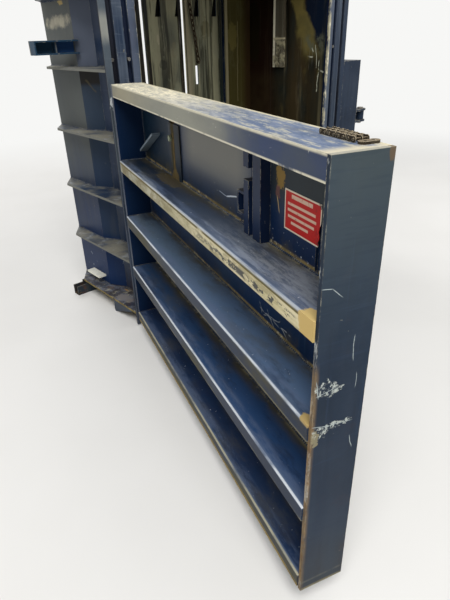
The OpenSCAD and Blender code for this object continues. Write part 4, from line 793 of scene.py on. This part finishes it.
def doorChainFinish():
    f = Finish("rollerChainSteel", (70, 62, 50), .5, .5)
    up = f.ramp(f.facing()[2], .6, .9)
    f.coat(f.patches(70, 4, .65, .35, .6) * .7, (40, 32, 24), .7, metal=.1)
    f.coat(up * f.patches(40, 4, .6, .2, .5) * .8, (140, 125, 102), .6, metal=.3)
    f.coat(f.edges(.0014) * f.patches(50, 3, .6, .2, .5), (206, 192, 164), .35, metal=.7)
    f.height = f.noise(400, 3) * .2
    return f.close()


def grimedSteel(name, smear=.4):
    f = Finish(name, grease["black"], .45)
    edge = f.edges(.004)
    grimeOver(f, smear=smear)
    f.coat(edge * f.runs(16, 4, .6, .2, .25, .5) * .85, (150, 140, 112), .45)
    f.height = f.noise(60, 4) * .4
    return f.close()


def nylonFinish():
    f = Finish("nylonWear", (196, 190, 170), .55)
    f.coat(f.runs(20, 5, .6, .1, .4, .62) * .6, (96, 88, 66), .6)
    f.coat(f.edges(.003) * .5, (226, 222, 206), .6)
    f.height = f.noise(120, 3) * .2
    return f.close()


dress(doorSkinFinish(), "door_skin")
dress(doorTopFinish(), "door_top")
dress(shelfFinish(), "door_shelves")
dress(doorEndFinish(), "door_end")
print("door finishes made")

blue = agedPaint("bluePaint").close()
darkBlue = agedPaint("shadedBluePaint", plain=(20, 36, 66), deep=(11, 24, 48), faded=(40, 54, 78)).close()
headBlue = agedPaint("headPaint", filmShare=.4, dustShare=.7, chipShare=.07).close()
slate = agedPaint("slatePaint", plain=(24, 38, 56), deep=(14, 27, 44), faded=(48, 60, 78),
                  edgeShare=.5).close()

dress(stileFinish(), "door_stile")
dress(blue, "door_knuckles", "hinge_leaves", "center_sill")
dress(darkBlue, "door_guide", "back_ribs")
dress(pocketFinish(), "pocket_cover")
dress(lugFinish(), "side_lugs")
dress(bracketFinish(), "door_brackets")
dress(slate, "keeper_box", "latch_ears", "latch_arm", "gate_sheet", "gate_frame")
dress(headBlue, "head_beams", "front_cover", "cylinder_plate", "oil_tank")
dress(rearPostFinish("rearPostLeftPaint", .95), "rear_post_left")
dress(rearPostFinish("rearPostRightPaint", .5), "rear_post_right")
dress(postFinish("postLeftPaint", -1), "post_left")
dress(postFinish("postRightPaint", 1), "post_right")
dress(sideWallFinish(), "side_walls")
dress(backWallFinish(), "back_wall")
dress(ribFinish(), "side_ribs")
dress(basePlateFinish(), "base_plate")
dress(footFinish(), "front_foot", "rear_foot")
dress(stripFinish(), "back_strips")
dress(railFinish(), "wall_rails")
dress(grimedSteel("platenGrime", .2), "platen", "ejector_tray")
dress(nylonFinish(), "gate_shoes", "platen_shoes")
dress(enamelFinish("tabEnamel", (240, 238, 224), (216, 212, 196), .5, .3, .15), "anchor_tab")
dress(enamelFinish("cabinetEnamel", (168, 170, 170), (150, 152, 152)), "control_box", "control_lid")
dress(enamelFinish("motorEnamel", (40, 84, 128), (56, 92, 124)), "pump_motor")
dress(enamelFinish("wheelEnamel", (150, 34, 28), (118, 36, 30), .4, .8), "hand_wheel")
dress(enamelFinish("stopEnamel", (186, 28, 24), (160, 30, 26), .35, .2, .2), "stop_button")
dress(enamelFinish("raiseEnamel", (30, 122, 66), (34, 104, 60), .35, .2, .2), "raise_button")
dress(enamelFinish("lowerEnamel", (28, 28, 30), (40, 40, 42), .35, .2, .2), "lower_button")
dress(steelFinish("brightSteel", steel["bright"], .22, .15, .25), "ram_rod", "oil_pipes")
dress(steelFinish("wornSteel", (140, 134, 124), .4, .5, .3), "latch_pin", "hinge_pins", "clamp_screw",
      "tray_shaft", "valve_block")
dress(steelFinish("boltSteel", (96, 94, 90), .5, .5, .5), "post_bolts")
dress(steelFinish("oiledSteel", (104, 100, 92), .45, .4, .5, .7), "cylinder_barrel", "cylinder_gland",
      "cylinder_cap")
dress(chainFinish("hangingChainSteel", (70, 60, 46), (196, 186, 160)), "hanging_chain", "chain_eyes")
dress(doorChainFinish(), "door_chain")
print("node finishes given")


# Modelling helpers: everything deselected, then one piece at a time
def startPiece():
    if bpy.context.object and bpy.context.object.mode != "OBJECT":
        bpy.ops.object.mode_set(mode="OBJECT")
    bpy.ops.object.select_all(action="DESELECT")


def endPiece(piece, name, body, material):
    startPiece()
    piece.select_set(True)
    bpy.context.view_layer.objects.active = piece
    bpy.ops.object.transform_apply(location=True, rotation=True, scale=True)
    piece.name = name
    piece.data.name = name
    piece.data.materials.clear()
    piece.data.materials.append(material)
    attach(piece, body)


# Red field with a pale rim and plain bars, on the skin of the top bay
sign = {
    "p": (1.39, 1.561), "z": (1.06, 1.169), "proud": .0009, "rim": .0042, "rows": 16,
    "torn": .022, "tornTo": .66, "frayed": .002,
    "bars": ((.0945, .0052, .034, .132), (.0735, .0036, .016, .146), (.057, .0036, .016, .15),
             (.0405, .0036, .018, .142), (.0245, .0036, .034, .116)),
}


def signFinish():
    f = Finish("signFilm", (196, 34, 30), .38)
    p, q, z = doorAxes(f)
    f.coat(f.noise(14, 4) * .3, (172, 28, 26))
    low, high = sign["z"]
    left, right = sign["p"]
    for middle, half, start, end in sign["bars"]:
        level = low + middle
        bar = f.band(z, level - half, level + half, .001) * f.band(p, left + start, left + end, .0012)
        f.coat(bar * f.patches(60, 4, .6, .2, .45) * .9, (228, 200, 176), .45)
    rim = sign["rim"]
    inside = f.band(p, left + rim, right - rim, .0006) * f.band(z, low + rim, high - rim, .0006)
    f.coat(1 - inside, (232, 218, 196), .45)
    f.coat(f.patches(30, 5, .7, .6, .68) * .7, (92, 60, 50), .6)
    f.coat(f.ramp(p, right - .03, right) * f.patches(50, 5, .7, .54, .6) * .8, (52, 40, 46), .5)
    f.height = f.noise(90, 3) * .2
    return f.close()


def makeSign():
    startPiece()
    low, high = sign["z"]
    left, right = sign["p"]
    rows = sign["rows"]
    bpy.ops.mesh.primitive_grid_add(x_subdivisions=24, y_subdivisions=rows, size=1)
    piece = bpy.context.object
    random.seed(4)
    rip = [random.uniform(0, 1) for _ in range(rows + 1)]
    for vertex in piece.data.vertices:
        a, b = vertex.co.x + .5, vertex.co.y + .5
        step = min(rows, int(round(b * rows)))
        if b < sign["tornTo"]:
            tear = sign["torn"] * (.25 + .75 * rip[step]) * max(0, 1 - b * 1.5)
        else:
            tear = sign["frayed"] * rip[step]
        wide = (right - left) - tear
        vertex.co = Vector((left + a * wide, 0, low + b * (high - low)))
    solid = piece.modifiers.new("thickness", "SOLIDIFY")
    solid.thickness = sign["proud"]
    solid.offset = 0
    bpy.ops.object.modifier_apply(modifier="thickness")
    for vertex in piece.data.vertices:
        vertex.co = onDoor(vertex.co.x, door["skin"] + sign["proud"] / 2 + .0001 - vertex.co.y, vertex.co.z)
    bpy.ops.object.mode_set(mode="EDIT")
    bpy.ops.mesh.select_all(action="SELECT")
    bpy.ops.mesh.normals_make_consistent(inside=False)
    bpy.ops.object.mode_set(mode="OBJECT")
    endPiece(piece, "doorSign", "door", signFinish())


makeSign()
print("sign made")


# Weld beads along the seams: each a row of small overlapping ripples
welds = {
    "reach": .0045, "thin": .8, "thinnest": .6, "pitch": .009, "overlap": .72,
    "web": .772, "out": .832, "plate": -.338, "foot": -.041, "knee": .064, "rear": .389,
    "base": .09, "rib": .325, "ribs": 7, "ribThick": .012,
    "lug": ((.022, .083), (1.453, 1.518)), "keeper": (.917, (-.379, -.233), 1.335),
    "stile": .03, "end": 1.751, "doorFoot": .081, "doorTop": 1.325, "shelfThick": .012,
}


def makeBead(start, end, reach):
    startPiece()
    run = end - start
    bpy.ops.mesh.primitive_ico_sphere_add(subdivisions=2, radius=1)
    bead = bpy.context.object
    bead.scale = (welds["pitch"] * welds["overlap"], reach, reach)
    bpy.ops.object.transform_apply(location=False, rotation=False, scale=True)
    row = bead.modifiers.new("ripples", "ARRAY")
    row.use_relative_offset = False
    row.use_constant_offset = True
    row.constant_offset_displace = (welds["pitch"], 0, 0)
    row.count = max(2, int(run.length / welds["pitch"]))
    bpy.ops.object.modifier_apply(modifier="ripples")
    bead.location = start + run.normalized() * welds["pitch"] * .5
    bead.rotation_euler = run.to_track_quat("X", "Z").to_euler()
    bpy.ops.object.transform_apply(location=True, rotation=True, scale=True)
    return bead


def makeWelds(name, body, seams, material):
    beads = [makeBead(Vector(a), Vector(b), reach) for a, b, reach in seams]
    startPiece()
    for bead in beads:
        bead.select_set(True)
    bpy.context.view_layer.objects.active = beads[0]
    bpy.ops.object.join()
    bpy.ops.object.shade_smooth()
    endPiece(bpy.context.object, name, body, material)


def doorSeams():
    w = welds
    low, high, near, far = w["stile"], w["end"], door["skin"], door["deep"]
    thin = w["reach"] * w["thin"]
    seams = []
    for level in door["shelves"]:
        seams.append((onDoor(low, near, level), onDoor(high, near, level), w["reach"]))
        seams.append((onDoor(high, near, level), onDoor(high, far, level), thin))
        seams.append((onDoor(low, near, level), onDoor(low, far, level), thin))
    levels = (w["doorFoot"],) + door["shelves"] + (w["doorTop"],)
    for side in (low, high):
        for start, end in zip(levels, levels[1:]):
            seams.append((onDoor(side, near, start), onDoor(side, near, end - w["shelfThick"]), thin))
    return seams


# Round a side's folds at every rib, and along the base plate
def frameSeams(side):
    w = welds
    turns = ((w["web"], w["plate"]), (w["web"], w["foot"]), (w["out"], w["knee"]), (w["out"], w["rear"]))
    heights = [w["base"]]
    for i in range(1, w["ribs"] + 1):
        heights += [w["base"] + i * w["rib"], w["base"] + i * w["rib"] - w["ribThick"]]
    seams = []
    for z in heights:
        for (x0, y0), (x1, y1) in zip(turns, turns[1:]):
            seams.append(((side * x0, y0, z), (side * x1, y1, z), w["reach"]))
    (start, end), levels = w["lug"]
    for z in levels:
        seams.append(((side * w["out"], start, z), (side * w["out"], end, z), w["reach"] * w["thin"]))
    if side > 0:
        x, (start, end), z = w["keeper"]
        seams.append(((x, start, z), (x, end, z), w["reach"] * w["thinnest"]))
    return seams


weldPaint = agedPaint("weldPaint", chipShare=.1, dustShare=.8, filmShare=.5).close()
makeWelds("doorWelds", "door", doorSeams(), weldPaint)
makeWelds("leftWelds", "frame", frameSeams(-1), weldPaint)
makeWelds("rightWelds", "frame", frameSeams(1), weldPaint)
print("weld beads made")


# Floor that fades into the backdrop, so no horizon shows
def floorFinish():
    f = Finish("floorPaint", studio["floorColour"], .9)
    far = f.add("VectorMath", {"operation": "LENGTH"}, [f.place], out=1)
    lit = f.add("BsdfDiffuse", {}, [f.blend(f.noise(.8, 4) * .12, studio["floorColour"], (200, 198, 192))])
    glow = f.add("Emission", {}, [studio["backdrop"], 1])
    mix = f.add("MixShader", {}, [f.ramp(far, *studio["floorFade"]), lit, glow])
    f.add("OutputMaterial", {}, [mix])
    return f.material


def makeFloor():
    startPiece()
    bpy.ops.mesh.primitive_circle_add(vertices=96, radius=studio["floorRadius"], fill_type="TRIFAN")
    floor = bpy.context.object
    floor.name = "floor"
    floor.data.materials.append(floorFinish())


def makeLamp(name, place, size, power):
    data = bpy.data.lights.new(name, "AREA")
    data.shape = "DISK"
    data.size = size
    data.energy = power
    lamp = bpy.data.objects.new(name, data)
    bpy.context.scene.collection.objects.link(lamp)
    lamp.location = place
    lamp.rotation_euler = (Vector(studio["lampAim"]) - Vector(place)).to_track_quat("-Z", "Y").to_euler()


def makeWorld():
    world = bpy.data.worlds.new("studioWorld")
    bpy.context.scene.world = world
    g = Graph(world)
    path = g.add("LightPath", out="Is Camera Ray")
    direct = path.over(path.also("Is Glossy Ray")).over(path.also("Is Transmission Ray"))
    soft = g.add("Background", {}, [(1, 1, 1, 1), studio["ambient"]])
    seen = g.add("Background", {}, [studio["backdrop"], 1])
    mix = g.add("MixShader", {}, [direct, soft, seen])
    g.add("OutputWorld", {}, [mix])


def makeCamera():
    data = bpy.data.cameras.new("photoCamera")
    data.lens = camera["lens"]
    data.sensor_width = camera["film"]
    data.sensor_fit = "AUTO"
    data.clip_start, data.clip_end = camera["clip"]
    eye = bpy.data.objects.new("photoCamera", data)
    bpy.context.scene.collection.objects.link(eye)
    aim = Vector(camera["aim"]).normalized()
    flat = Vector(camera["side"])
    flat = (flat - aim * flat.dot(aim)).normalized()
    under = aim.cross(flat)
    c, s = math.cos(camera["roll"]), math.sin(camera["roll"])
    right, down = flat * c + under * s, under * c - flat * s
    turn = Matrix((right, -down, -aim)).transposed().to_4x4()
    eye.matrix_world = Matrix.Translation(camera["place"]) @ turn
    bpy.context.scene.camera = eye


makeFloor()
for lampName in ("key", "fill", "rim"):
    makeLamp(lampName, *studio[lampName])
makeWorld()
makeCamera()
bpy.context.scene.view_settings.view_transform = "Standard"
print("studio ready")
